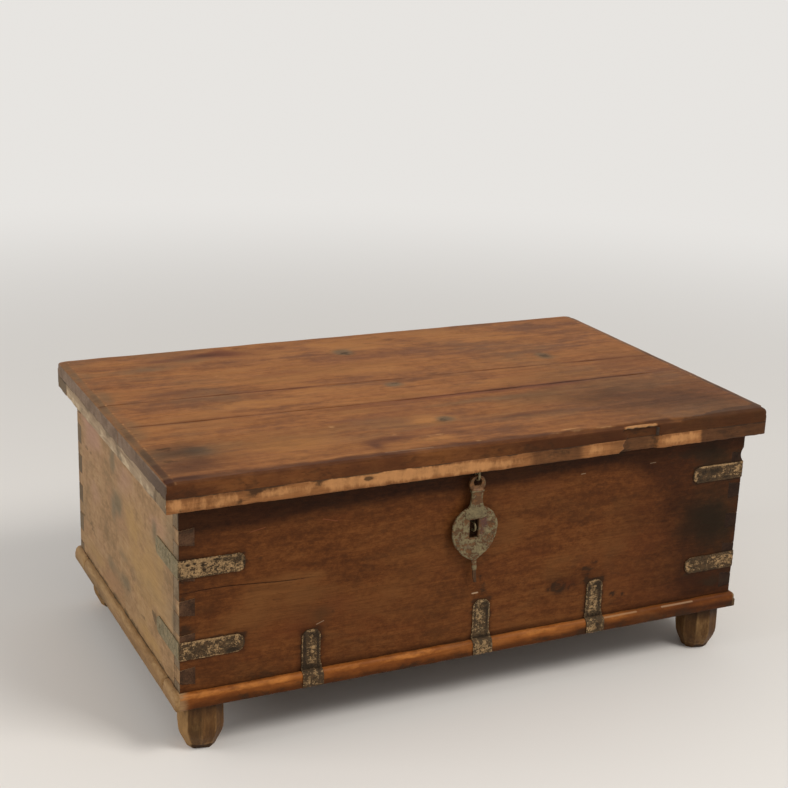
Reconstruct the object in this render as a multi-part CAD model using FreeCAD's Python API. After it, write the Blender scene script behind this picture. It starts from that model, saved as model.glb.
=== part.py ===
"""Low teak storage chest with a hinged lid, iron corner straps, a hanging hasp and carved feet.

Millimetres, +Z up, +X along the chest's length, the front faces -Y.
The origin is on the floor, under the middle of the lid.
"""
import FreeCAD
import Part
import math
import os

V = FreeCAD.Vector

# General fits and the overrun that every cut uses
overrun = 5.0
dovetail_fit = 0.1
tenon_fit = 0.2
nail_fit = 0.15
pin_fit = 0.05
hinge_side_gap = 0.5
board_gap = 0.6
panel_fit = 0.5
hang_clearance = 0.3
same_place = 0.01

# Lid: three boards over a frame of lip strips, held by two battens
lid_length = 1000.0
lid_depth = 612.0
lid_board_thickness = 23.0
lip_height = 22.0
back_board_width = 266.0
middle_board_width = 116.0
end_bevel_width = 13.0
end_bevel_drop = 3.0
lid_edge_round = 5.0
lip_edge_round = 2.5
lip_cover = 3.5
batten_width = 56.0
batten_place_share = 0.46
worn_notch_width = 62.0
worn_notch_depth = 5.0
worn_notch_top = 7.0
worn_notch_place_share = 0.518

# Case: four dovetailed boards
front_overhang = 21.5
back_overhang = 29.5
end_overhang = 23.5
panel_height = 282.0
front_thickness = 25.0
side_thickness = 23.0
pin_count = 5
pin_height = 21.0
pin_flare = 3.0
first_pin_share = 0.163
pin_pitch_share = 0.188
edge_chip_width = 24.0
edge_chip_depth = 5.0
edge_chip_drop_share = 0.135

# Base frame with a rounded nosing, its bearer and the bottom boards
base_thickness = 25.0
base_projection = 9.0
base_board_width = 64.0
nosing_top_round = 8.5
nosing_bottom_round = 3.0
bearer_width = 60.0
bottom_board_count = 4
bottom_board_thickness = 15.0

# Feet: carved with flat facets, each with a square tenon
foot_height = 76.0
foot_radius = 35.0
foot_facets = 10
foot_turn = 24.0
foot_front_inset = 37.5
foot_front_end_inset = 48.5
foot_back_inset = 39.5
foot_back_end_inset = 55.5
tenon_width = 21.0
tenon_height = 20.0
foot_profile_shares = (
    (0.0, 0.47), (0.04, 0.59), (0.12, 0.715), (0.23, 0.837), (0.345, 0.95), (0.46, 1.0), (1.0, 0.98),
)

# Corner irons and base straps
iron_thickness = 2.0
iron_width = 27.5
iron_front_leg = 96.0
iron_side_leg = 104.0
iron_end_round = 10.0
iron_nail_shares = (0.36, 0.87)
upper_left_drop_share = 0.33
lower_left_drop_share = 0.772
upper_right_drop_share = 0.227
lower_right_drop_share = 0.787
strap_width = 29.0
strap_rise = 65.0
strap_lap = 14.0
strap_end_round = 12.0
strap_curve_gap = 0.2
strap_nail_shares = (0.4, 0.82)
left_strap_share = -0.582
middle_strap_share = 0.008
right_strap_share = 0.436

# Forged nails: square shank, four-sided rose head
nail_shank = 2.6
nail_head = 7.0
nail_head_tip = 2.6
nail_head_height = 1.6
short_nail_bite = 12.0
base_nail_shares = (-0.7, -0.25, 0.25, 0.7)
base_end_nail_shares = (-0.25, 0.25)
batten_nail_shares = (0.25, 0.75)
lip_front_nail_shares = (-0.92, -0.5, 0.2, 0.78)
lip_back_nail_shares = (-0.92, -0.3, 0.3, 0.92)
lip_end_nail_shares = (-0.45, 0.35)

# Hinges under the lid's rear overhang
hinge_place_share = 0.6
hinge_width = 70.0
hinge_leaf_thickness = 2.5
hinge_leaf_drop = 58.0
knuckle_radius = 5.5
knuckle_share = 0.3
hinge_pin_radius = 2.5
hinge_back_clearance = 1.0
hinge_axis_drop = 7.0
hinge_leaf_edge = 1.5
hinge_nail_share = 0.33
hinge_nail_drop_shares = (0.45, 0.82)

# Hasp, the wire staple that it hangs on and the lock staple behind its slot
hasp_place_share = -0.041
hasp_standoff = 8.6
eye_drop = 9.0
eye_thickness = 5.0
eye_radius = 13.5
eye_hole_radius = 6.75
eye_bar = 4.0
eye_edge_bevel = 1.1
collar_width = 22.0
collar_thickness = 8.0
collar_height = 3.0
collar_drop = 23.0
neck_width = 19.5
neck_thickness = 7.0
neck_length = 24.0
leaf_thickness = 4.0
leaf_half_width = 38.5
leaf_upper = 36.0
leaf_lower = 52.0
leaf_rim = 1.0
shoulder_width = 58.0
shoulder_drop = 16.0
slot_width = 15.0
slot_height = 30.0
tail_width = 9.0
tail_tip_width = 5.0
tail_length = 37.0
tail_thickness = 3.0
tail_bead_radius = 4.6
tail_bead_share = 0.32
neck_spread_share = 1.1
shoulder_shares = (0.75, 0.4)
wire_facets = 6
bend_facets = 12
staple_wire_radius = 2.1
staple_bite = 15.0
lock_wire_radius = 1.6
lock_loop_radius = 6.5
lock_clearance = 0.5
lock_bite = 14.0

# Levels and faces worked out from the sizes above
base_top = foot_height + base_thickness
case_top = base_top + panel_height
lid_board_bottom = case_top + lip_height
lid_top = lid_board_bottom + lid_board_thickness
lid_front = -lid_depth / 2
lid_back = lid_depth / 2
lid_end = lid_length / 2
case_front = lid_front + front_overhang
case_back = lid_back - back_overhang
case_end = lid_end - end_overhang
inner_front = case_front + front_thickness
inner_back = case_back - front_thickness
inner_end = case_end - side_thickness
base_front_face = case_front - base_projection
base_back_face = case_back + base_projection
base_end_face = case_end + base_projection
long_nail = lip_height + short_nail_bite
hasp_x = hasp_place_share * lid_end
hasp_back = case_front - hasp_standoff
hinge_y = case_back + hinge_back_clearance + knuckle_radius
hinge_z = case_top - hinge_axis_drop


def block(x0, x1, y0, y1, z0, z1):
    """Box between two corners."""
    return Part.makeBox(x1 - x0, y1 - y0, z1 - z0, V(x0, y0, z0))


def prism(points, sweep):
    """Flat polygon pushed along a vector."""
    return Part.Face(Part.makePolygon(points + [points[0]])).extrude(sweep)


def fuse_all(shapes):
    """One clean solid from pieces that overlap."""
    whole = shapes[0].multiFuse(shapes[1:]) if len(shapes) > 1 else shapes[0]
    return whole.removeSplitter()


def round_where(shape, radius, chosen):
    """Fillet on the edges whose middle point passes the test."""
    edges = [e for e in shape.Edges if chosen(e.CenterOfMass, e)]
    return shape.makeFillet(radius, edges)


def near(a, b):
    return abs(a - b) < same_place


def rounded_tongue(length, width, corner):
    """Flat tongue along +X from the origin, centred on Y, with its far corners rounded."""
    half = width / 2
    bend = corner * (1 - math.sqrt(2) / 2)
    a, b = V(0, -half, 0), V(length - corner, -half, 0)
    c, d = V(length, -half + corner, 0), V(length, half - corner, 0)
    e, f = V(length - corner, half, 0), V(0, half, 0)
    edges = [
        Part.LineSegment(a, b).toShape(),
        Part.Arc(b, V(length - bend, -half + bend, 0), c).toShape(),
        Part.LineSegment(c, d).toShape(),
        Part.Arc(d, V(length - bend, half - bend, 0), e).toShape(),
        Part.LineSegment(e, f).toShape(),
        Part.LineSegment(f, a).toShape(),
    ]
    return Part.Face(Part.Wire(edges))


def plate(face, thickness, origin, length_axis, width_axis):
    """Tongue face turned so that its length and width follow two axes, with its thickness outward."""
    outward = length_axis.cross(width_axis)
    solid = face.extrude(V(0, 0, thickness))
    matrix = FreeCAD.Matrix(
        length_axis.x, width_axis.x, outward.x, origin.x,
        length_axis.y, width_axis.y, outward.y, origin.y,
        length_axis.z, width_axis.z, outward.z, origin.z,
        0, 0, 0, 1,
    )
    solid.Placement = FreeCAD.Placement(matrix)
    return solid


def stacked(rings):
    """Solid of flat faces through closed rings of corners, each ring standing over the one before."""
    faces = [Part.Face(Part.makePolygon(ring + [ring[0]])) for ring in (rings[0], rings[-1])]
    for low, high in zip(rings, rings[1:]):
        for i in range(len(low)):
            j = (i + 1) % len(low)
            faces.append(Part.Face(Part.makePolygon([low[i], low[j], high[j], high[i], low[i]])))
    shell = Part.Shell(faces)
    shell.sewShape()
    return Part.Solid(shell)


def polygon_ring(sides, turn, radius, height):
    """Corners of a regular polygon around +Z."""
    angles = [math.radians(turn + 360.0 * i / sides) for i in range(sides)]
    return [V(radius * math.cos(a), radius * math.sin(a), height) for a in angles]


def square_ring(side, height):
    half = side / 2
    return [V(-half, -half, height), V(half, -half, height), V(half, half, height), V(-half, half, height)]


def placed(shape, point, outward):
    """Copy of a shape drawn around +Z, stood at a point with +Z along the outward direction."""
    copy = shape.copy()
    copy.Placement = FreeCAD.Placement(point, FreeCAD.Rotation(V(0, 0, 1), outward))
    return copy


def nail_shape(length):
    """Rose-headed nail: the head's flat underside is at zero and the shank hangs below it."""
    half = nail_shank / 2
    shank = block(-half, half, -half, half, -length, 0)
    head = stacked([square_ring(nail_head, 0), square_ring(nail_head_tip, nail_head_height)])
    return shank.fuse(head).removeSplitter()


def nail_hole(length):
    half = nail_shank / 2 + nail_fit
    return block(-half, half, -half, half, -length - nail_fit, overrun)


def nails_and_holes(spots, length):
    """Nails at (point, outward) spots, and the holes that they need."""
    nail, hole = nail_shape(length), nail_hole(length)
    return [placed(nail, *spot) for spot in spots], [placed(hole, *spot) for spot in spots]


def pin_heights():
    """Middle heights of the dovetail pins, from the top down."""
    return [
        case_top - panel_height * (first_pin_share + i * pin_pitch_share) for i in range(pin_count)
    ]


def dovetail(side, middle, y0, y1, grow):
    """Prism of one pin: narrow at the chest's end face and flared inside, through a front or back board."""
    outer = side * (case_end + (overrun if grow else 0))
    inner = side * (inner_end - grow)
    slope = pin_flare / side_thickness * (overrun if grow else 0)
    narrow = pin_height / 2 + grow - slope
    wide = pin_height / 2 + grow + pin_flare
    points = [
        V(outer, y0, middle - narrow), V(inner, y0, middle - wide),
        V(inner, y0, middle + wide), V(outer, y0, middle + narrow),
    ]
    return prism(points, V(0, y1 - y0, 0))


def end_board(side):
    """Side panel with its pins reaching through the front and the back boards."""
    xs = sorted((side * inner_end, side * case_end))
    body = [block(*xs, inner_front, inner_back, base_top, case_top)]
    for middle in pin_heights():
        body.append(dovetail(side, middle, case_front, inner_front, 0))
        body.append(dovetail(side, middle, inner_back, case_back, 0))
    return fuse_all(body)


def tail_board(y0, y1):
    """Front or back panel, with sockets at both ends for the pins."""
    board = block(-case_end, case_end, y0, y1, base_top, case_top)
    sockets = [
        dovetail(side, middle, y0 - overrun, y1 + overrun, dovetail_fit)
        for side in (-1, 1) for middle in pin_heights()
    ]
    return board.cut(Part.makeCompound(sockets))


def edge_chip():
    """Shallow scoop knocked out of the front right corner, under the lid."""
    radius = (edge_chip_width ** 2 / 4 + edge_chip_depth ** 2) / (2 * edge_chip_depth)
    middle = V(case_end + radius - edge_chip_depth, case_front - overrun,
               case_top - panel_height * edge_chip_drop_share)
    return Part.makeCylinder(radius, front_thickness / 2 + overrun, middle, V(0, 1, 0))


def base_frame():
    """Four flat boards, butted at the corners, with one rounded nosing all round."""
    frame = block(-base_end_face, base_end_face, base_front_face, base_back_face, foot_height, base_top)
    frame = round_where(frame, nosing_top_round, lambda c, e: near(c.z, base_top))
    frame = round_where(frame, nosing_bottom_round, lambda c, e: near(c.z, foot_height))
    inner = base_board_width
    hole = block(-base_end_face + inner, base_end_face - inner,
                 base_front_face + inner, base_back_face - inner,
                 foot_height - overrun, base_top + overrun)
    frame = frame.cut(hole)
    far = base_end_face + overrun
    low, high = foot_height - overrun, base_top + overrun
    front_edge, back_edge = base_front_face + inner, base_back_face - inner
    cutters = {
        "base_front": block(-far, far, base_front_face - overrun, front_edge, low, high),
        "base_back": block(-far, far, back_edge, base_back_face + overrun, low, high),
        "base_left": block(-far, 0, front_edge, back_edge, low, high),
        "base_right": block(0, far, front_edge, back_edge, low, high),
    }
    return {name: frame.common(cutter) for name, cutter in cutters.items()}


def foot_places():
    """Middle of each foot on the floor. The back pair stands further in than the front pair."""
    front_x, front_y = base_end_face - foot_front_end_inset, base_front_face + foot_front_inset
    back_x, back_y = base_end_face - foot_back_end_inset, base_back_face - foot_back_inset
    return {
        "foot_front_left": V(-front_x, front_y, 0), "foot_front_right": V(front_x, front_y, 0),
        "foot_back_left": V(-back_x, back_y, 0), "foot_back_right": V(back_x, back_y, 0),
    }


def foot(place):
    """Faceted bun: polygons of changing size joined by flat cuts, with a square tenon on top."""
    bun = stacked([
        polygon_ring(foot_facets, foot_turn, r * foot_radius, h * foot_height) for h, r in foot_profile_shares
    ])
    half = tenon_width / 2
    tenon = block(-half, half, -half, half, foot_height - overrun, foot_height + tenon_height)
    whole = bun.fuse(tenon).removeSplitter()
    whole.translate(place)
    return whole


def tenon_holes():
    half = tenon_width / 2 + tenon_fit
    low, high = foot_height - overrun, foot_height + tenon_height + tenon_fit
    return [
        block(place.x - half, place.x + half, place.y - half, place.y + half, low, high)
        for place in foot_places().values()
    ]


def corner_iron(side, height):
    """L-shaped iron bent round a front corner, with rounded ends."""
    front = rounded_tongue(iron_front_leg + iron_thickness, iron_width, iron_end_round)
    flank = rounded_tongue(iron_side_leg + iron_thickness, iron_width, iron_end_round)
    corner_x = side * (case_end + iron_thickness)
    corner_y = case_front - iron_thickness
    up = V(0, 0, 1)
    front_leg = plate(front, iron_thickness, V(corner_x, case_front, height), V(-side, 0, 0), V(0, 0, -side))
    side_leg = plate(flank, iron_thickness, V(side * case_end, corner_y, height), V(0, 1, 0), up * side)
    whole = fuse_all([front_leg, side_leg])
    return round_where(
        whole, iron_thickness,
        lambda c, e: near(c.x, corner_x) and near(c.y, corner_y) and near(e.Length, iron_width),
    )


def iron_heights():
    drop_shares = {
        "upper_left": upper_left_drop_share, "lower_left": lower_left_drop_share,
        "upper_right": upper_right_drop_share, "lower_right": lower_right_drop_share,
    }
    return {name: case_top - panel_height * share for name, share in drop_shares.items()}


def iron_nail_spots():
    spots = []
    for name, height in iron_heights().items():
        side = -1 if name.endswith("left") else 1
        for share in iron_nail_shares:
            front = V(side * (case_end - share * iron_front_leg), case_front - iron_thickness, height)
            flank = V(side * (case_end + iron_thickness), case_front + share * iron_side_leg, height)
            spots += [(front, V(0, -1, 0)), (flank, V(side, 0, 0))]
    return spots


def strap_section():
    """Side view of a base strap: down the panel, over the nosing and down the base's edge."""
    r0 = nosing_top_round + strap_curve_gap
    r1 = r0 + iron_thickness
    y_in, y_out = case_front, case_front - iron_thickness
    centre_y = base_front_face + nosing_top_round
    centre_z = base_top - nosing_top_round
    low = centre_z - strap_lap
    diagonal = math.sqrt(2) / 2
    start_z = centre_z + math.sqrt(r1 ** 2 - (centre_y - y_out) ** 2)
    start_turn = math.atan2(start_z - centre_z, centre_y - y_out)
    middle_turn = start_turn / 2
    inner_start = V(0, y_in, centre_z + math.sqrt(r0 ** 2 - (centre_y - y_in) ** 2))
    outer_start = V(0, y_out, start_z)
    inner_end = V(0, centre_y - r0, centre_z)
    outer_end = V(0, centre_y - r1, centre_z)
    inner_middle = V(0, centre_y - r0 * diagonal, centre_z + r0 * diagonal)
    outer_middle = V(0, centre_y - r1 * math.cos(middle_turn), centre_z + r1 * math.sin(middle_turn))
    top = base_top + strap_rise
    top_in, top_out = V(0, y_in, top), V(0, y_out, top)
    low_in, low_out = V(0, centre_y - r0, low), V(0, centre_y - r1, low)
    edges = [
        Part.LineSegment(top_in, inner_start).toShape(),
        Part.Arc(inner_start, inner_middle, inner_end).toShape(),
        Part.LineSegment(inner_end, low_in).toShape(),
        Part.LineSegment(low_in, low_out).toShape(),
        Part.LineSegment(low_out, outer_end).toShape(),
        Part.Arc(outer_end, outer_middle, outer_start).toShape(),
        Part.LineSegment(outer_start, top_out).toShape(),
        Part.LineSegment(top_out, top_in).toShape(),
    ]
    return Part.Face(Part.Wire(edges))


def base_strap(place):
    """Iron strap over the base's nosing, with a rounded top."""
    half = strap_width / 2
    strap = strap_section().extrude(V(strap_width, 0, 0))
    strap.translate(V(place - half, 0, 0))
    outline = rounded_tongue(strap_rise + foot_height + base_thickness, strap_width, strap_end_round)
    depth = base_projection + iron_thickness * 2
    window = plate(outline, depth + overrun, V(place, case_front + overrun, 0), V(0, 0, 1), V(1, 0, 0) * -1)
    return strap.common(window)


def strap_places():
    return {
        "left": left_strap_share * case_end,
        "middle": middle_strap_share * case_end,
        "right": right_strap_share * case_end,
    }


def strap_nail_spots():
    spots = []
    face = case_front - iron_thickness
    low_face = base_front_face - strap_curve_gap - iron_thickness
    low_height = base_top - nosing_top_round - strap_lap / 2
    for place in strap_places().values():
        for share in strap_nail_shares:
            spots.append((V(place, face, base_top + strap_rise * share), V(0, -1, 0)))
        spots.append((V(place, low_face, low_height), V(0, -1, 0)))
    return spots


def base_nail_spots():
    """Nails driven up through the base boards into the panels' lower edges."""
    down = V(0, 0, -1)
    front, back = case_front + front_thickness / 2, case_back - front_thickness / 2
    flank = case_end - side_thickness / 2
    along = [share * case_end for share in base_nail_shares]
    across = [share * (inner_back - inner_front) for share in base_end_nail_shares]
    middle_y = (case_front + case_back) / 2
    spots = [(V(x, y, foot_height), down) for y in (front, back) for x in along]
    spots += [(V(s * flank, middle_y + y, foot_height), down) for s in (-1, 1) for y in across]
    return spots


def bottom_boards():
    """Boards laid lengthwise on the base's inner ledge."""
    width = (inner_back - inner_front - 2 * panel_fit - (bottom_board_count - 1) * board_gap) / bottom_board_count
    half = inner_end - panel_fit
    boards = {}
    for i in range(bottom_board_count):
        y0 = inner_front + panel_fit + i * (width + board_gap)
        boards["bottom_board_%d" % (i + 1)] = block(-half, half, y0, y0 + width, base_top,
                                                    base_top + bottom_board_thickness)
    return boards


def bottom_nail_spots(boards):
    up = V(0, 0, 1)
    top = base_top + bottom_board_thickness
    ledge = (inner_end + base_end_face - base_board_width) / 2
    spots = []
    for board in boards.values():
        box = board.BoundBox
        quarter = box.YLength / 4
        for x in (-ledge, ledge):
            spots += [(V(x, box.Center.y - quarter, top), up), (V(x, box.Center.y + quarter, top), up)]
        spots.append((V(0, box.Center.y, top), up))
    return spots


def lid_boards():
    """Three boards cut from one slab: bevelled at the ends, rounded along the front and back edges."""
    slab = block(-lid_end, lid_end, lid_front, lid_back, lid_board_bottom, lid_top)
    slab = round_where(
        slab, lid_edge_round,
        lambda c, e: near(c.z, lid_top) and near(abs(c.y), lid_back),
    )
    for side in (-1, 1):
        wedge = [
            V(side * (lid_end - end_bevel_width), lid_front - overrun, lid_top),
            V(side * lid_end, lid_front - overrun, lid_top - end_bevel_drop),
            V(side * (lid_end + end_bevel_width), lid_front - overrun, lid_top - 2 * end_bevel_drop),
            V(side * (lid_end + end_bevel_width), lid_front - overrun, lid_top + overrun),
            V(side * (lid_end - end_bevel_width), lid_front - overrun, lid_top + overrun),
        ]
        slab = slab.cut(prism(wedge, V(0, lid_depth + 2 * overrun, 0)))
    first = lid_back - back_board_width
    second = first - middle_board_width
    spans = {
        "top_board_back": (first + board_gap / 2, lid_back + overrun),
        "top_board_middle": (second + board_gap / 2, first - board_gap / 2),
        "top_board_front": (lid_front - overrun, second - board_gap / 2),
    }
    far = lid_end + overrun
    low, high = lid_board_bottom - overrun, lid_top + overrun
    return {name: slab.common(block(-far, far, y0, y1, low, high)) for name, (y0, y1) in spans.items()}


def lip_strips():
    """Frame of strips under the boards, which rests on the case's rim."""
    slab = block(-lid_end, lid_end, lid_front, lid_back, case_top, lid_board_bottom)
    slab = round_where(slab, lip_edge_round, lambda c, e: near(c.z, case_top))
    end_in = inner_end - lip_cover
    front_in = inner_front + lip_cover
    back_in = inner_back - lip_cover
    low, high = case_top - overrun, lid_board_bottom + overrun
    slab = slab.cut(block(-end_in, end_in, front_in, back_in, low, high))
    far = lid_end + overrun
    cutters = {
        "lip_front": block(-far, far, lid_front - overrun, front_in, low, high),
        "lip_back": block(-far, far, back_in, lid_back + overrun, low, high),
        "lip_left": block(-far, 0, front_in, back_in, low, high),
        "lip_right": block(0, far, front_in, back_in, low, high),
    }
    return {name: slab.common(cutter) for name, cutter in cutters.items()}


def battens():
    half = batten_width / 2
    made = {}
    for name, side in (("batten_left", -1), ("batten_right", 1)):
        x = side * batten_place_share * lid_end
        made[name] = block(x - half, x + half, inner_front + lip_cover, inner_back - lip_cover,
                           case_top, lid_board_bottom)
    return made


def worn_notch():
    """Shallow pocket broken out of the lid's front edge, open below."""
    x = worn_notch_place_share * lid_end
    half = worn_notch_width / 2
    return block(x - half, x + half, lid_front - overrun, lid_front + worn_notch_depth,
                 case_top - overrun, lid_top - worn_notch_top)


def lid_nail_spots(boards):
    """Nails driven up through the battens and the lip's overhang into the boards."""
    down = V(0, 0, -1)
    spots = []
    for side in (-1, 1):
        x = side * batten_place_share * lid_end
        offset = batten_width / 4
        for board in boards.values():
            box = board.BoundBox
            low = max(box.YMin, inner_front + lip_cover)
            high = min(box.YMax, inner_back - lip_cover)
            for share, shift in zip(batten_nail_shares, (-offset, offset)):
                spots.append((V(x + shift, low + (high - low) * share, case_top), down))
    front = lid_front + front_overhang / 2
    back = lid_back - back_overhang / 2
    flank = lid_end - end_overhang / 2
    for share in lip_front_nail_shares:
        spots.append((V(share * lid_end, front, case_top), down))
    for share in lip_back_nail_shares:
        spots.append((V(share * lid_end, back, case_top), down))
    for side in (-1, 1):
        for share in lip_end_nail_shares:
            spots.append((V(side * flank, share * lid_back, case_top), down))
    return spots


def knuckle(x0, x1, radius):
    return Part.makeCylinder(radius, x1 - x0, V(x0, hinge_y, hinge_z), V(1, 0, 0))


def hinge(x):
    """Butt hinge with three knuckles: leaf on the back panel, leaf under the lid, and its pin."""
    half = hinge_width / 2
    outer = hinge_width * knuckle_share
    clear = knuckle_radius + hinge_side_gap
    bore = knuckle(x - half - overrun, x + half + overrun, hinge_pin_radius + pin_fit)
    leaf_y = case_back + hinge_leaf_thickness
    case_parts = [block(x - half, x + half, case_back, leaf_y, hinge_z - hinge_leaf_drop, hinge_z - clear)]
    for x0, x1 in ((x - half, x - half + outer), (x + half - outer, x + half)):
        case_parts += [
            knuckle(x0, x1, knuckle_radius),
            block(x0, x1, case_back, leaf_y, hinge_z - clear - overrun, hinge_z),
            block(x0, x1, leaf_y - hinge_leaf_thickness / 2, hinge_y,
                  hinge_z - knuckle_radius, hinge_z - knuckle_radius + hinge_leaf_thickness),
        ]
    case_leaf = fuse_all(case_parts).cut(bore)
    lid_y = lid_back - hinge_leaf_edge
    leaf_z = case_top - hinge_leaf_thickness
    in0, in1 = x - half + outer + hinge_side_gap, x + half - outer - hinge_side_gap
    lid_parts = [
        block(x - half, x + half, hinge_y + clear, lid_y, leaf_z, case_top),
        knuckle(in0, in1, knuckle_radius),
        block(in0, in1, hinge_y, hinge_y + clear + overrun, leaf_z, case_top),
        block(in0, in1, hinge_y, hinge_y + knuckle_radius, hinge_z, case_top),
    ]
    lid_leaf = fuse_all(lid_parts).cut(bore)
    pin = knuckle(x - half - hinge_side_gap, x + half + hinge_side_gap, hinge_pin_radius)
    return case_leaf, lid_leaf, pin


def hinge_nail_spots(x):
    """Spots in the case leaf and in the lid leaf of one hinge."""
    apart = hinge_width * hinge_nail_share
    out = case_back + hinge_leaf_thickness
    high, low = (hinge_z - hinge_leaf_drop * share for share in hinge_nail_drop_shares)
    case_spots = [(V(x + dx, out, high), V(0, 1, 0)) for dx in (-apart, apart)]
    case_spots.append((V(x, out, low), V(0, 1, 0)))
    y = (hinge_y + knuckle_radius + lid_back) / 2
    lid_spots = [(V(x + dx, y, case_top - hinge_leaf_thickness), V(0, 0, -1)) for dx in (-apart, apart)]
    return case_spots, lid_spots


def eye_axis():
    """Middle of the eye's top bar, which is the line that the hasp swings on."""
    return V(hasp_x, hasp_back - eye_thickness / 2, case_top - eye_drop)


def bar_reach():
    """Largest radius of the eye's bevelled top bar about its own middle."""
    return max(
        math.hypot(eye_thickness / 2 - eye_edge_bevel, eye_bar / 2),
        math.hypot(eye_thickness / 2, eye_bar / 2 - eye_edge_bevel),
    )


def wire_section(wire_radius, bend_radius, height):
    """Flat-sided section of a wire leg that stands beside the Z axis."""
    return [corner + V(0, bend_radius, 0) for corner in polygon_ring(wire_facets, 0, wire_radius, height)]


def wire_loop(wire_radius, bend_radius, straight, bite):
    """Hammered wire staple: a half turn about the origin in YZ and two legs up +Z, with the legs' holes."""
    end = wire_section(wire_radius, bend_radius, 0)
    turns = [FreeCAD.Rotation(V(1, 0, 0), -180.0 * i / bend_facets) for i in range(bend_facets + 1)]
    bend = stacked([[turn.multVec(corner) for corner in end] for turn in turns])
    leg = stacked([end, wire_section(wire_radius, bend_radius, straight + bite)])
    hole = stacked([
        wire_section(wire_radius + tenon_fit, bend_radius, straight - overrun),
        wire_section(wire_radius + tenon_fit, bend_radius, straight + bite + tenon_fit),
    ])
    mirrored = [shape.mirror(V(0, 0, 0), V(0, 1, 0)) for shape in (leg, hole)]
    return fuse_all([bend, leg, mirrored[0]]), [hole, mirrored[1]]


def hasp_staple():
    """Wire staple in the lid's overhang: its bend carries the hasp's eye."""
    bend = bar_reach() + hang_clearance + staple_wire_radius
    staple, holes = wire_loop(staple_wire_radius, bend, eye_drop, staple_bite)
    for shape in [staple] + holes:
        shape.translate(eye_axis())
    return staple, holes


def lock_staple():
    """Small wire staple in the front panel, standing out behind the hasp's slot."""
    reach = hasp_standoff - lock_clearance
    straight = reach - lock_loop_radius - lock_wire_radius
    staple, holes = wire_loop(lock_wire_radius, lock_loop_radius, straight, lock_bite)
    for shape in [staple] + holes:
        shape.rotate(V(0, 0, 0), V(1, 0, 0), -90)
        shape.translate(V(hasp_x, case_front - straight, slot_middle()))
    return staple, holes


def leaf_middle():
    """Height at which the hasp's leaf is widest."""
    return case_top - eye_drop - collar_drop - neck_length - leaf_upper


def slot_middle():
    return leaf_middle()


def leaf_face(y):
    """Leaf outline: a half round above and a pointed arch of two arcs below."""
    middle = leaf_middle()
    half = leaf_half_width
    arch = (half ** 2 + leaf_lower ** 2) / (2 * half)
    turn = math.asin(leaf_lower / arch) / 2
    across, down = arch * math.cos(turn) - (arch - half), arch * math.sin(turn)
    left, right = V(hasp_x - half, y, middle), V(hasp_x + half, y, middle)
    top, tip = V(hasp_x, y, middle + leaf_upper), V(hasp_x, y, middle - leaf_lower)
    diagonal = math.sqrt(2) / 2
    rise = middle + leaf_upper * diagonal
    edges = [
        Part.Arc(left, V(hasp_x - half * diagonal, y, rise), top).toShape(),
        Part.Arc(top, V(hasp_x + half * diagonal, y, rise), right).toShape(),
        Part.Arc(right, V(hasp_x + across, y, middle - down), tip).toShape(),
        Part.Arc(tip, V(hasp_x - across, y, middle - down), left).toShape(),
    ]
    return Part.Face(Part.Wire(edges))


def hasp_section(width, front, height):
    """Rectangle in plan, from the hasp's back plane out to its front, at a height."""
    half = width / 2
    back = hasp_back
    return [V(hasp_x - half, back, height), V(hasp_x + half, back, height),
            V(hasp_x + half, back - front, height), V(hasp_x - half, back - front, height)]


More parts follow.
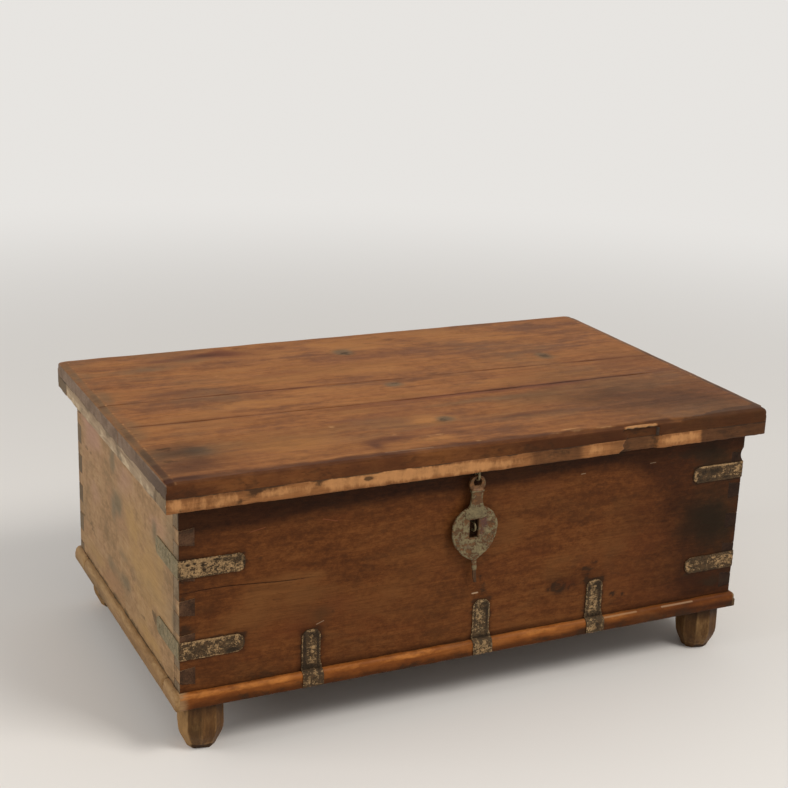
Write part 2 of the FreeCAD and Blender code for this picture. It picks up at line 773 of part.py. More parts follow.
def hasp():
    """Forged hasp: eye, collar, neck, dished shoulder, leaf with a slot, and a thin tail."""
    axis = eye_axis()
    front_y = hasp_back - eye_thickness
    eye_middle = axis.z + eye_bar / 2 - eye_radius
    hole_middle = axis.z - eye_bar / 2 - eye_hole_radius
    eye = Part.makeCylinder(eye_radius, eye_thickness, V(hasp_x, front_y, eye_middle), V(0, 1, 0))
    eye = eye.cut(Part.makeCylinder(eye_hole_radius, eye_thickness + 2 * overrun,
                                    V(hasp_x, front_y - overrun, hole_middle), V(0, 1, 0)))
    eye = eye.makeChamfer(eye_edge_bevel, [e for e in eye.Edges if isinstance(e.Curve, Part.Circle)])
    collar_top = axis.z - collar_drop + collar_height
    neck_top = axis.z - collar_drop
    neck_low = neck_top - neck_length
    half = collar_width / 2
    collar = block(hasp_x - half, hasp_x + half, hasp_back - collar_thickness, hasp_back, neck_top, collar_top)
    neck = stacked([
        hasp_section(neck_width, neck_thickness, neck_top + collar_height / 2),
        hasp_section(neck_width * neck_spread_share, neck_thickness - leaf_rim, neck_low),
        hasp_section(shoulder_width * shoulder_shares[0], leaf_thickness + leaf_rim,
                     neck_low - shoulder_drop * shoulder_shares[1]),
        hasp_section(shoulder_width, leaf_thickness, neck_low - shoulder_drop),
    ])
    outline = leaf_face(hasp_back).extrude(V(0, -neck_thickness - overrun, 0))
    above = block(hasp_x - half, hasp_x + half, hasp_back - neck_thickness - overrun, hasp_back,
                  neck_low - collar_height, neck_top + collar_height)
    neck = neck.common(outline.fuse(above))
    leaf = leaf_face(hasp_back).extrude(V(0, -leaf_thickness, 0))
    leaf_front = hasp_back - leaf_thickness
    rim = [e for e in leaf.Edges if near(e.CenterOfMass.y, leaf_front)]
    leaf = leaf.makeChamfer(leaf_rim, rim)
    slot_half = slot_width / 2
    slot = block(hasp_x - slot_half, hasp_x + slot_half, hasp_back - neck_thickness - overrun,
                 hasp_back + overrun, slot_middle() - slot_height / 2, slot_middle() + slot_height / 2)
    tip = leaf_middle() - leaf_lower
    root, end = tail_width / 2, tail_tip_width / 2
    tail = prism([
        V(hasp_x - root, hasp_back, tip + tail_width), V(hasp_x + root, hasp_back, tip + tail_width),
        V(hasp_x + end, hasp_back, tip - tail_length), V(hasp_x - end, hasp_back, tip - tail_length),
    ], V(0, -tail_thickness, 0))
    bead_z = tip - tail_length * tail_bead_share
    bead = Part.makeCylinder(tail_bead_radius, leaf_thickness, V(hasp_x, hasp_back, bead_z), V(0, -1, 0))
    return fuse_all([eye, collar, neck, leaf, tail, bead]).cut(slot)


def export(name, shape):
    """One STEP file for a node, and a line about it."""
    solids = shape.Solids
    shape = solids[0] if len(solids) == 1 else Part.makeCompound(solids)
    shape.exportStep("parts/%s.step" % name)
    print("%-26s solids %3d  volume %11.1f" % (name, len(solids), shape.Volume))


def build():
    """All nodes of the chest by name."""
    base = base_frame()
    boards = bottom_boards()
    tops = lid_boards()
    lips = lip_strips()
    hinge_x = hinge_place_share * lid_end
    middle_y = (base_front_face + base_back_face) / 2
    reach = (base_back_face - base_front_face) / 2 - base_board_width
    bearer = block(-bearer_width / 2, bearer_width / 2, middle_y - reach, middle_y + reach, foot_height, base_top)

    panels = {
        "front_panel": tail_board(case_front, inner_front),
        "back_panel": tail_board(inner_back, case_back),
        "left_panel": end_board(-1),
        "right_panel": end_board(1),
    }
    for name in ("front_panel", "right_panel"):
        panels[name] = panels[name].cut(edge_chip())
    irons = {}
    for name, height in iron_heights().items():
        irons["corner_iron_" + name] = corner_iron(-1 if name.endswith("left") else 1, height)
    straps = {"base_strap_" + name: base_strap(place) for name, place in strap_places().items()}

    lock, lock_holes = lock_staple()
    staple, staple_holes = hasp_staple()
    iron_nails, iron_holes = nails_and_holes(
        iron_nail_spots() + strap_nail_spots(), iron_thickness + short_nail_bite)
    base_nails, base_holes = nails_and_holes(base_nail_spots(), base_thickness + short_nail_bite)
    bottom_nails, bottom_holes = nails_and_holes(
        bottom_nail_spots(boards), bottom_board_thickness + short_nail_bite)
    lid_nails, lid_holes = nails_and_holes(lid_nail_spots(tops), long_nail)

    case_leaves, lid_leaves, pins = {}, {}, {}
    case_spots, lid_spots = [], []
    for name, side in (("left", -1), ("right", 1)):
        case_leaf, lid_leaf, pin = hinge(side * hinge_x)
        case_leaves["hinge_case_leaf_" + name] = case_leaf
        lid_leaves["hinge_lid_leaf_" + name] = lid_leaf
        pins["hinge_pin_" + name] = pin
        case_more, lid_more = hinge_nail_spots(side * hinge_x)
        case_spots += case_more
        lid_spots += lid_more
    hinge_case_nails, hinge_case_holes = nails_and_holes(case_spots, hinge_leaf_thickness + short_nail_bite)
    hinge_lid_nails, hinge_lid_holes = nails_and_holes(lid_spots, hinge_leaf_thickness + short_nail_bite)

    case_cuts = Part.makeCompound(iron_holes + base_holes + bottom_holes + hinge_case_holes + lock_holes
                                  + tenon_holes())
    lid_cuts = Part.makeCompound(lid_holes + hinge_lid_holes + staple_holes + [worn_notch()])

    nodes = {}
    for group in (panels, base, {"base_bearer": bearer}, boards, irons, straps, case_leaves):
        nodes.update({name: shape.cut(case_cuts) for name, shape in group.items()})
    for group in (tops, lips, battens(), lid_leaves):
        nodes.update({name: shape.cut(lid_cuts) for name, shape in group.items()})
    nodes.update({name: foot(place) for name, place in foot_places().items()})
    nodes.update(pins)
    nodes["lock_staple"] = lock
    nodes["hasp_staple"] = staple
    nodes["hasp"] = hasp()
    nodes["iron_nails"] = Part.makeCompound(iron_nails)
    nodes["base_nails"] = Part.makeCompound(base_nails)
    nodes["bottom_nails"] = Part.makeCompound(bottom_nails)
    nodes["lid_nails"] = Part.makeCompound(lid_nails)
    nodes["hinge_case_nails"] = Part.makeCompound(hinge_case_nails)
    nodes["hinge_lid_nails"] = Part.makeCompound(hinge_lid_nails)
    return nodes


os.makedirs("parts", exist_ok=True)
for node, solid in build().items():
    export(node, solid)
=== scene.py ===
# %% [markdown]
# # An old teak storage chest with iron straps
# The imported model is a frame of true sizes. This lesson dresses it: each board, iron and foot is made
# again as a mesh with worn edges, and gets a finish that follows the wood or the metal.
# The frame is loaded first, because every place below is read from it.

# %% Load the frame
import math

import bpy
import numpy as np
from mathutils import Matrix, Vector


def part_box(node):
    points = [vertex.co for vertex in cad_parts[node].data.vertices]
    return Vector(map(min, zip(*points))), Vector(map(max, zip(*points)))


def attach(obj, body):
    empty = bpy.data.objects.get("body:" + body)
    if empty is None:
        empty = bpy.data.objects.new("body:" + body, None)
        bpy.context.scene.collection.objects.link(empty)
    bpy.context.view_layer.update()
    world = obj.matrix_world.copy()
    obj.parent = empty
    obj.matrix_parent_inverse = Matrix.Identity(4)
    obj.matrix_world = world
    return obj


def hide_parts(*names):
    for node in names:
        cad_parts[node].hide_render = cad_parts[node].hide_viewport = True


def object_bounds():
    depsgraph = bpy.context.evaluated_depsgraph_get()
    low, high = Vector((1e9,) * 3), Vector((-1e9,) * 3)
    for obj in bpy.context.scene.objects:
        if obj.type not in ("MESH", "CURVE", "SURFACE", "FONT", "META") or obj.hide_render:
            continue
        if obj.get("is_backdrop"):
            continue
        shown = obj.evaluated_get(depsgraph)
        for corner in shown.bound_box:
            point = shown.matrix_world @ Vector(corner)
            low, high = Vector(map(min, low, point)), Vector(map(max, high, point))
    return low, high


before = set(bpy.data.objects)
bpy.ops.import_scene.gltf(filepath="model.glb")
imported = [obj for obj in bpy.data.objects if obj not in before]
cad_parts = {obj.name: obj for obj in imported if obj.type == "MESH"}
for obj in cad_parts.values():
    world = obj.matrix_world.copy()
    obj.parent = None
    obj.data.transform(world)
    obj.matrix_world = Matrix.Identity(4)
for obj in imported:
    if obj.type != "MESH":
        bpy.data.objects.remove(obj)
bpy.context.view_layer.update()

mm = 0.001

# %% [markdown]
# ## The room
# The chest was photographed from its front left, from a little above, with a long lens. A camera fitted to
# the chest's own corners gives the place and the turn below. The room is a plain pale floor, a soft sky
# all round and two broad lamps, so that a colour looks about as it is written and the shadows stay soft.

# %% Camera
camera_place = (-1.0556, -2.1453, 1.1651)
camera_turn = (72.454, -1.964, -25.148)
picture_width = 788
focal_in_pixels = 1527
sensor = 36.0

lens = bpy.data.cameras.new("photo_lens")
lens.sensor_width = sensor
lens.lens = sensor * focal_in_pixels / picture_width
camera = bpy.data.objects.new("photo_camera", lens)
camera.location = camera_place
camera.rotation_euler = [math.radians(a) for a in camera_turn]
bpy.context.scene.collection.objects.link(camera)
bpy.context.scene.camera = camera
print("lens %.1f mm" % lens.lens)

# %% Floor
floor_reach = 30.0
floor_corners = [(x * floor_reach, y * floor_reach, 0) for x, y in ((-1, -1), (1, -1), (1, 1), (-1, 1))]

floor_mesh = bpy.data.meshes.new("pale_floor")
floor_mesh.from_pydata(floor_corners, [], [(0, 1, 2, 3)])
floor = bpy.data.objects.new("pale_floor", floor_mesh)
bpy.context.scene.collection.objects.link(floor)
floor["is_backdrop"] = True
print("floor %.0f m wide" % (2 * floor_reach))

# %% Lamps


def lamp(name, place, target, size, power, colour):
    """Square area lamp at a place, turned to look at a target."""
    light = bpy.data.lights.new(name, "AREA")
    light.shape = "SQUARE"
    light.size = size
    light.energy = power
    light.color = colour
    holder = bpy.data.objects.new(name, light)
    holder.location = place
    towards = Vector(target) - Vector(place)
    holder.rotation_euler = towards.to_track_quat("-Z", "Y").to_euler()
    bpy.context.scene.collection.objects.link(holder)


lamp("window_lamp", (1.3, -2.2, 3.3), (0, 0, 0.25), size=1.5, power=83, colour=(1.0, 0.97, 0.93))
lamp("side_lamp", (-3.0, 0.2, 1.9), (-0.3, 0, 0.2), size=1.8, power=34, colour=(1.0, 0.98, 0.96))
bpy.context.scene.view_settings.view_transform = "Standard"

# %% [markdown]
# ## Shapes as arrays
# A board is a box with soft arrises. It could be a cube with a Bevel modifier, but an old board is rounder
# in one place than in another. So the skin of a box is laid out as a lattice of points, and each point is
# pulled onto a box whose rounding is a function of the place. Numpy does this for all points at once.

# %% A box as a lattice of points


def rows(a, b, step, edge):
    """Places from a to b, about a step apart, with closer ones inside a rounded edge at both ends."""
    count = max(2, int(round((b - a - 2 * edge) / step)) + 1)
    near_end = edge * np.array([0, 0.2, 0.45, 0.72])
    return np.concatenate([a + near_end, np.linspace(a + edge, b - edge, count), (b - near_end)[::-1]])


def skin(xs, ys, zs):
    """Closed box over three rows of places: the points on the lattice's outside, and quads that face out."""
    ids = np.arange(len(xs) * len(ys) * len(zs)).reshape(len(xs), len(ys), len(zs))

    def sheet(side, flip):
        quads = np.stack([side[:-1, :-1], side[1:, :-1], side[1:, 1:], side[:-1, 1:]], -1).reshape(-1, 4)
        return quads[:, ::-1] if flip else quads

    quads = np.concatenate([
        sheet(ids[:, :, 0], True), sheet(ids[:, :, -1], False), sheet(ids[:, 0, :], False),
        sheet(ids[:, -1, :], True), sheet(ids[0], True), sheet(ids[-1], False),
    ])
    used, quads = np.unique(quads, return_inverse=True)
    points = np.stack(np.meshgrid(xs, ys, zs, indexing="ij"), -1).reshape(-1, 3)[used]
    return points, quads.reshape(-1, 4)


def box_skin(lo, hi, steps, edges):
    """Skin of the box from lo to hi, with a step and a rounded edge in millimetres for each of X, Y and Z."""
    return skin(*(rows(a, b, step * mm, edge * mm) for a, b, step, edge in zip(lo, hi, steps, edges)))


print("faces on a 100 mm cube:", len(box_skin([0] * 3, [0.1] * 3, [10] * 3, [2] * 3)[1]))

# %% Soft arrises and slow waves


def rounded(points, lo, hi, radius):
    """Box skin with soft arrises: clip a point to the box less the radius, then step out by the radius."""
    radius = np.maximum(radius, 1e-6).reshape(-1, 1)
    core = np.clip(points, lo + radius, hi - radius)
    out = points - core
    return core + out / np.maximum(np.linalg.norm(out, axis=1, keepdims=True), 1e-9) * radius


def waves(points, length, seed, count=14):
    """Smooth random height from -1 to 1: sines of many directions and about one length, in millimetres."""
    rng = np.random.default_rng(seed)
    ways = rng.normal(size=(count, 3))
    ways /= np.linalg.norm(ways, axis=1, keepdims=True)
    ways *= rng.uniform(0.6, 1.7, (count, 1)) / (length * mm)
    phases = rng.uniform(0, 2 * math.pi, count)
    return np.tanh(np.sin(2 * math.pi * points @ ways.T + phases).sum(1) / math.sqrt(count))


print("one wave's height at the origin: %.2f" % waves(np.zeros((1, 3)), 100, 1)[0])

# %% [markdown]
# ## Marks as numbers
# Wear has no sharp border, so every mark is a smooth number over the place: a step, a window between two
# steps, or an oval spot. The same three are used for dirt, for darkened and worn wood, and for small dents.
# Below, a table of spots has rows of (place, place, reach, reach, amount) in millimetres.

# %% Steps, windows and spots


def step_up(value, low, high):
    """0 below low, 1 above high, and a smooth S between them."""
    t = np.clip((value - low) / (high - low), 0, 1)
    return t * t * (3 - 2 * t)


def window(value, low, high, soft):
    """1 between low and high, falling smoothly to 0 outside over a soft width."""
    return step_up(value, low - soft, low + soft) * (1 - step_up(value, high - soft, high + soft))


def rise(value, low, high):
    """A step between two lengths in millimetres."""
    return step_up(value / mm, low, high)


def stretch(value, low, high, soft):
    """A window between two lengths in millimetres."""
    return window(value / mm, low, high, soft)


def spots(a, b, table):
    """Soft ovals added up: each row is (centre a, centre b, reach a, reach b, amount), in millimetres."""
    total = np.zeros(len(a))
    for ca, cb, ra, rb, amount in table:
        total += amount * np.exp(-((a / mm - ca) / ra) ** 2 - ((b / mm - cb) / rb) ** 2)
    return total


print("a step from 0 to 1, at a quarter:", step_up(0.25, 0, 1))

# %% Joined shapes and the way their faces look


def join(parts):
    """Several (points, quads) shapes as one."""
    shifts = np.cumsum([0] + [len(points) for points, _ in parts[:-1]])
    return np.concatenate([p for p, _ in parts]), np.concatenate([q + s for (_, q), s in zip(parts, shifts)])


def facing(points, quads):
    """Outward direction of each quad, from the cross product of its diagonals."""
    normal = np.cross(points[quads[:, 2]] - points[quads[:, 0]], points[quads[:, 3]] - points[quads[:, 1]])
    return normal / np.maximum(np.linalg.norm(normal, axis=1, keepdims=True), 1e-12)


print("the first face of a cube looks to", facing(*box_skin([0] * 3, [0.1] * 3, [10] * 3, [2] * 3))[0])

# %% [markdown]
# ## From arrays to a piece
# A piece is a mesh object. It rides on the body that carries it, its slot says which finish it has, and it
# stands for the plain solids of the frame, which are then hidden. Its marks go in as numbers per point, and a
# number that is left out reads as 0 in the finish.

# %% Piece


def piece(name, shape, body, nodes, materials, index=None, masks=None):
    """Mesh object from a shape, which rides on a body and stands for nodes. Masks are numbers per point."""
    points, quads = shape
    mesh = bpy.data.meshes.new(name)
    mesh.from_pydata(points.tolist(), [], quads.tolist())
    mesh.shade_smooth()
    for material in materials:
        mesh.materials.append(material)
    if index is not None:
        mesh.polygons.foreach_set("material_index", np.asarray(index, np.int32))
    for mask, values in (masks or {}).items():
        layer = mesh.attributes.new(mask, "FLOAT", "POINT")
        layer.data.foreach_set("value", np.clip(values, 0, 1).astype(np.float32))
    made = bpy.data.objects.new(name, mesh)
    bpy.context.scene.collection.objects.link(made)
    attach(made, body)
    if nodes:
        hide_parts(*nodes)
    print("%-26s %6d faces" % (name, len(quads)))
    return made


# %% [markdown]
# ## Finishes
# Old teak has long streaks along the grain, fine dark fibres and soft clouds where hands and damp have
# worked. Noise stretched along the grain gives all three. Where the wood is worn bare, dirty or darkened,
# and where shade and highlights are painted on it, the mesh carries a number from 0 to 1 per point, and
# noise tears its border so that it looks like wear.
# A picture could be painted on instead, but numbers and noise stay sharp from any distance.

# %% Nodes and noise


def add(tree, kind, inputs=(), **settings):
    """New shader node. Inputs are values or other nodes' outputs, by socket name or number."""
    node = tree.nodes.new("ShaderNode" + kind)
    for key, value in settings.items():
        setattr(node, key, value)
    for key, value in dict(inputs).items():
        if isinstance(value, bpy.types.NodeSocket):
            tree.links.new(value, node.inputs[key])
        else:
            node.inputs[key].default_value = value
    return node


def noise(tree, vector, scale, detail=3.0, rough=0.55, distortion=0.0):
    """Cloudy number from 0 to 1: scale says how many clouds a metre, detail and rough how fine they break."""
    made = add(tree, "TexNoise", {"Vector": vector, "Scale": scale, "Detail": detail, "Roughness": rough,
                                  "Distortion": distortion})
    return made.outputs["Fac"]


def moved(tree, vector, shift):
    """Coordinates shifted by a seed, so that no two finishes show the same clouds."""
    return add(tree, "Mapping", {"Vector": vector, "Location": shift}).outputs["Vector"]


def stretched(tree, vector, scale):
    """Coordinates scaled apart on X, Y and Z: a small number draws the pattern out along that way."""
    return add(tree, "Mapping", {"Vector": vector, "Scale": scale}).outputs["Vector"]

# %% Numbers in nodes


def between(tree, value, low, high, to_low=0.0, to_high=1.0):
    """Smooth step from one number to another as the value goes from low to high."""
    made = add(tree, "MapRange", {"Value": value, "From Min": low, "From Max": high, "To Min": to_low,
                                  "To Max": to_high}, interpolation_type="SMOOTHSTEP")
    return made.outputs["Result"]


def maths(tree, operation, a, b=0.0):
    """One sum on two numbers or sockets, such as ADD, MULTIPLY, MAXIMUM or SINE."""
    return add(tree, "Math", {0: a, 1: b}, operation=operation).outputs[0]


def vectors(tree, operation, a, b=(0, 0, 0), result="Vector"):
    """One sum on two vectors, such as ADD, SUBTRACT, DOT_PRODUCT or DISTANCE."""
    return add(tree, "VectorMath", {0: a, 1: b}, operation=operation).outputs[result]


def mixture(tree, *parts):
    """Several (value, share) pairs added up."""
    total = 0.0
    for value, share in parts:
        total = maths(tree, "ADD", maths(tree, "MULTIPLY", value, share), total)
    return total


def stripes(tree, value, count, low, amount):
    """Thin lines like year rings: the tops of a sine over a slow number, with so many waves."""
    wave = maths(tree, "SINE", maths(tree, "MULTIPLY", value, count))
    return between(tree, wave, low, 1.0, 0.0, amount)

# %% Colours in nodes


def blend(tree, amount, a, b, kind="MIX"):
    """Colour a where the amount is 0 and colour b where it is 1. A colour is three numbers or a socket."""
    made = add(tree, "Mix", data_type="RGBA", blend_type=kind)
    for socket, value in zip((made.inputs[0], made.inputs[6], made.inputs[7]), (amount, a, b)):
        if isinstance(value, bpy.types.NodeSocket):
            tree.links.new(value, socket)
        else:
            socket.default_value = (*value, 1) if isinstance(value, tuple) else value
    return made.outputs[2]


def ramp(tree, value, stops):
    """Colours strung along a number: each stop is (place from 0 to 1, colour)."""
    made = add(tree, "ValToRGB", {"Fac": value})
    elements = made.color_ramp.elements
    while len(elements) < len(stops):
        elements.new(0.5)
    for element, (place, colour) in zip(elements, stops):
        element.position, element.color = place, (*colour, 1)
    return made.outputs["Color"]


def times(colour, factor):
    """A colour made lighter or darker."""
    return tuple(min(c * factor, 1.0) for c in colour)


print("half of a mid tan:", times((0.4, 0.3, 0.2), 0.5))

# %% Masks from the mesh


def number(tree, name):
    """The mesh's own number of that name."""
    return add(tree, "Attribute", attribute_name=name).outputs["Fac"]


def mask(tree, name, broken, torn=0.7, soft=0.3):
    """A mask from the mesh, raised and lowered by a noise so that its border is ragged."""
    shifted = maths(tree, "ADD", number(tree, name), between(tree, broken, 0.34, 0.66, -torn / 2, torn / 2))
    return between(tree, shifted, 0.5 - soft / 2, 0.5 + soft / 2)


def line_mark(tree, place, a, b, width):
    """1 near the line from a to b, in millimetres, by the distance to the line's nearest point."""
    a, b = np.array(a) * mm, np.array(b) * mm
    reach = b - a
    offset = vectors(tree, "SUBTRACT", place, a.tolist())
    along = vectors(tree, "DOT_PRODUCT", offset, (reach / (reach @ reach)).tolist(), "Value")
    share = add(tree, "Clamp", {"Value": along}).outputs["Result"]
    gap = vectors(tree, "DISTANCE", offset, vectors(tree, "MULTIPLY", reach.tolist(), share), "Value")
    return between(tree, gap, 0.35 * width * mm, width * mm, 1.0, 0.0)


# %% Empty material and its last links


def new_material(name):
    """Empty material with its node tree, object coordinates and shader."""
    material = bpy.data.materials.new(name)
    material.use_nodes = True
    tree = material.node_tree
    return material, tree, add(tree, "TexCoord").outputs["Object"], tree.nodes["Principled BSDF"]


def finished(tree, shader, colour, rough, height, relief, deep, specular):
    """Joins colour, roughness and a bump height to the shader. A plain number goes on the shader's socket."""
    tree.links.new(colour, shader.inputs["Base Color"])
    if isinstance(rough, bpy.types.NodeSocket):
        tree.links.new(rough, shader.inputs["Roughness"])
    else:
        shader.inputs["Roughness"].default_value = rough
    bump = add(tree, "Bump", {"Height": height, "Strength": relief, "Distance": deep})
    tree.links.new(bump.outputs["Normal"], shader.inputs["Normal"])
    shader.inputs["Specular IOR Level"].default_value = specular

# %% [markdown]
# ## The floor's and the sky's own look
# Seen by the camera, the far floor and the sky glow evenly, so the picture has a plain pale ground, while
# the floor near the chest keeps its shadow and the light on the chest stays as it is.

# %% Pale floor
backdrop_white = 0.8
floor_colour = (0.8, 0.775, 0.74, 1)
glow_starts, glow_full = 1.0, 4.0


def seen(tree):
    """1 where the camera, a reflection or a look through glass sees the surface, and 0 for other light."""
    path = add(tree, "LightPath").outputs
    return maths(tree, "MAXIMUM", maths(tree, "MAXIMUM", path["Is Camera Ray"], path["Is Glossy Ray"]),
                 path["Is Transmission Ray"])


floor_material, tree, place, shader = new_material("pale_floor")
shader.inputs["Base Color"].default_value = floor_colour
shader.inputs["Roughness"].default_value = 0.9
distance = vectors(tree, "LENGTH", place, result="Value")
glow = add(tree, "Emission", {"Color": (1.0, 0.975, 0.94, 1), "Strength": backdrop_white})
share = maths(tree, "MULTIPLY", seen(tree), between(tree, distance, glow_starts, glow_full))
mixed = add(tree, "MixShader", {0: share, 1: shader.outputs[0], 2: glow.outputs[0]})
tree.links.new(mixed.outputs[0], tree.nodes["Material Output"].inputs["Surface"])
floor_mesh.materials.append(floor_material)
print("the floor glows from %.0f m on" % glow_starts)

# %% Soft sky
sky_strength = 0.46

world = bpy.data.worlds.new("soft_sky")
bpy.context.scene.world = world
world.use_nodes = True
tree = world.node_tree
background = tree.nodes["Background"]
background.inputs["Color"].default_value = (1.0, 0.985, 0.965, 1)
strength = between(tree, seen(tree), 0.0, 1.0, sky_strength, backdrop_white)
tree.links.new(strength, background.inputs["Strength"])
print("sky", sky_strength, "seen as", backdrop_white)

# %% [markdown]
# ## Teak
# One function makes every teak finish, because all the boards come from the same kind of tree: long dark
# streaks, year rings as thin lines, open pores and fibres, then clouds of other colours, dirt, darkened
# places, painted shade and highlights, and bare wood. Each board gets its own colours, grain way and seed.

# %% The wood's own figure
ALONG = {"X": (0.06, 1, 1), "Y": (1, 0.06, 1), "Z": (1, 1, 0.06)}


def drawn_out(grain, pull):
    """Scale along the grain: pull 1 draws the pattern out fully, 0 not at all."""
    return tuple(s ** pull for s in ALONG[grain])


def wood_figure(tree, place, grain, pull, flecks):
    """The noises of the wood by name, each stretched along the grain and bent a little by a slow sway."""
    sway = add(tree, "TexNoise", {"Vector": place, "Scale": 4.0, "Detail": 2.0}).outputs["Color"]
    bent = vectors(tree, "ADD", place, vectors(tree, "MULTIPLY", sway, (0.03, 0.03, 0.03)))

    def along(vector, way, *look):
        return noise(tree, stretched(tree, vector, drawn_out(grain, way)), *look)

    return {
        "wide": along(bent, pull, 12.0, 5.0, 0.62),
        "streak": along(bent, 1.0, 80.0, 5.0, 0.66),
        "fibre": along(bent, 1.2, 420.0, 3.0, 0.65),
        "pore": along(bent, 0.75, 900.0, 2.0, 0.5),
        "fleck": along(place, 0.2, flecks, 5.0, 0.7),
        "slow": along(bent, 1.0, 9.0, 2.0, 0.45),
    }


print("a pattern is drawn out %.0f times along the grain" % (1 / ALONG["X"][0]))

# %% Clouds, and wood worn bare
SHADE = (0.3, 0.285, 0.3)
DUST = (0.4, 0.27, 0.17)


def clouded(tree, place, grain, colour, clouds):
    """Clouds of other colours over a colour. Rows are (colour, number per metre, amount, threshold)."""
    for step, (cloud, count, amount, threshold) in enumerate(clouds):
        shift = (step * 1.7 + 0.4, step * 0.9, step * 2.1)
        drawn = {"Vector": place, "Location": shift, "Scale": drawn_out(grain, 0.3)}
        cloudy = noise(tree, add(tree, "Mapping", drawn).outputs["Vector"], count, 6.0, 0.66)
        colour = blend(tree, between(tree, cloudy, threshold, threshold + 0.16, 0.0, amount), colour, cloud)
    return colour


def worn_bare_and_highlight(tree, colour, bare_and_highlight, broken, fleck, wear):
    """Worn wood and painted highlights in their own three tones where the mesh says so. Gives the colour and
    the mask.
    """
    bare_and_highlight_mask = mask(tree, "bare_and_highlight", broken, *wear)
    tone = mixture(tree, (broken, 0.5), (fleck, 0.5))
    bare_and_highlight_tone = ramp(tree, tone, [(0.36, times(bare_and_highlight, 0.72)), (0.5, bare_and_highlight), (0.66, times(bare_and_highlight, 1.2))])
    return blend(tree, bare_and_highlight_mask, colour, bare_and_highlight_tone), bare_and_highlight_mask


def soiled_and_shaded(tree, colour, wide, torn, grime_and_shade):
    """Darkened places, dirt and painted shade where the mesh says so. Gives the colour and the mask of dirt
    and painted shade.
    """
    colour = blend(tree, mask(tree, "dark", wide, 0.35, 0.9), colour, SHADE, "MULTIPLY")
    grime_and_shade_mask = mask(tree, "grime_and_shade", torn, 0.8, 0.5)
    return blend(tree, maths(tree, "MULTIPLY", grime_and_shade_mask, 0.8), colour, grime_and_shade), grime_and_shade_mask


print("darkened wood keeps %.0f %% of its red" % (100 * SHADE[0]))

# %% Teak along the grain


def teak(name, grain, dark, middle, light, bare_and_highlight, grime_and_shade=(0.03, 0.016, 0.008), clouds=(), tints=(), marks=(),
         tear=None, wear=(0.7, 0.3), pull=0.45, parts=(0.4, 0.38, 0.22), fibres=0.4, rough=0.5, specular=0.12,
         figure=0.25, contrast=1.0, relief=0.3, flecks=85.0, seed=0.0):
    """Teak whose fibres run along X, Y or Z. Tints are (mask, colour), marks are scratches and painted
    highlight lines (from, to, width, colour, amount), wear says how torn and how soft the border of worn wood
    and painted highlights is, and parts are the shares of wide, long and small figure."""
    material, tree, whole, shader = new_material(name)
    place = moved(tree, whole, (seed, seed * 0.7, seed * 1.3))
    wood = wood_figure(tree, place, grain, pull, flecks)
    tone = mixture(tree, *zip((wood["wide"], wood["streak"], wood["fleck"]), parts))
    tone = between(tree, tone, 0.5 - 0.14 / contrast, 0.5 + 0.14 / contrast)
    colour = ramp(tree, tone, [(0.0, dark), (0.5, middle), (1.0, light)])
    colour = clouded(tree, place, grain, colour, clouds)
    for tint, paint in tints:
        colour = blend(tree, mask(tree, tint, wood["wide"], 0.5, 0.8), colour, paint)
    pores = between(tree, wood["pore"], 0.64, 0.74, 0.0, 0.5)
    colour = blend(tree, stripes(tree, wood["slow"], 95.0, 0.1, figure), colour, dark)
    colour = blend(tree, between(tree, wood["fibre"], 0.4, 0.68, 0.0, fibres), colour, times(dark, 0.9))
    colour = blend(tree, pores, colour, times(dark, 0.45))
    broken = noise(tree, stretched(tree, place, tear or drawn_out(grain, 0.35)), 120.0, 6.0, 0.7)
    colour, bare_and_highlight_mask = worn_bare_and_highlight(tree, colour, bare_and_highlight, broken, wood["fleck"], wear)
    torn = noise(tree, stretched(tree, place, drawn_out(grain, 0.25)), 48.0, 6.0, 0.68)
    colour, grime_and_shade_mask = soiled_and_shaded(tree, colour, wood["wide"], torn, grime_and_shade)
    line = number(tree, "line")
    colour = blend(tree, maths(tree, "MULTIPLY", line, 0.9), colour, times(dark, 0.3))
    for start, end, width, paint, amount in marks:
        stroke = line_mark(tree, whole, start, end, width)
        colour = blend(tree, maths(tree, "MULTIPLY", stroke, amount), colour, paint)
    dust = between(tree, noise(tree, place, 300.0, 4.0, 0.75), 0.69, 0.78, 0.0, 0.12)
    colour = blend(tree, dust, colour, DUST)
    dull = mixture(tree, (wood["wide"], 0.3), (bare_and_highlight_mask, 0.12), (grime_and_shade_mask, 0.12), (1.0, rough - 0.15))
    height = mixture(tree, (wood["fibre"], 0.5), (pores, -0.6), (wood["fleck"], 0.45), (wood["streak"], 0.3),
                     (line, -1.4))
    finished(tree, shader, colour, dull, height, relief, 1.2 * mm, specular)
    return material

# %% Cut ends


def end_grain(name, dark, middle, light, bare_and_highlight=(0.36, 0.23, 0.12), grime_and_shade=(0.03, 0.018, 0.01), seed=0.0):
    """Cut ends of teak boards: no streaks, but packed pores, faint year rings and dirt in the hollows."""
    material, tree, whole, shader = new_material(name)
    place = moved(tree, whole, (seed, seed, seed))
    cloud = noise(tree, place, 28.0, 6.0, 0.68)
    pore = noise(tree, place, 600.0, 3.0, 0.6)
    tone = mixture(tree, (cloud, 0.7), (pore, 0.3))
    colour = ramp(tree, between(tree, tone, 0.36, 0.64), [(0.0, dark), (0.5, middle), (1.0, light)])
    colour = blend(tree, stripes(tree, noise(tree, place, 14.0, 1.0, 0.4), 160.0, 0.2, 0.25), colour, dark)
    colour = blend(tree, mask(tree, "bare_and_highlight", noise(tree, place, 150.0, 5.0, 0.68)), colour, bare_and_highlight)
    colour, _ = soiled_and_shaded(tree, colour, cloud, noise(tree, place, 60.0, 6.0, 0.68), grime_and_shade)
    finished(tree, shader, colour, 0.72, mixture(tree, (pore, 0.6), (cloud, 0.4)), 0.5, 1 * mm, 0.12)
    return material


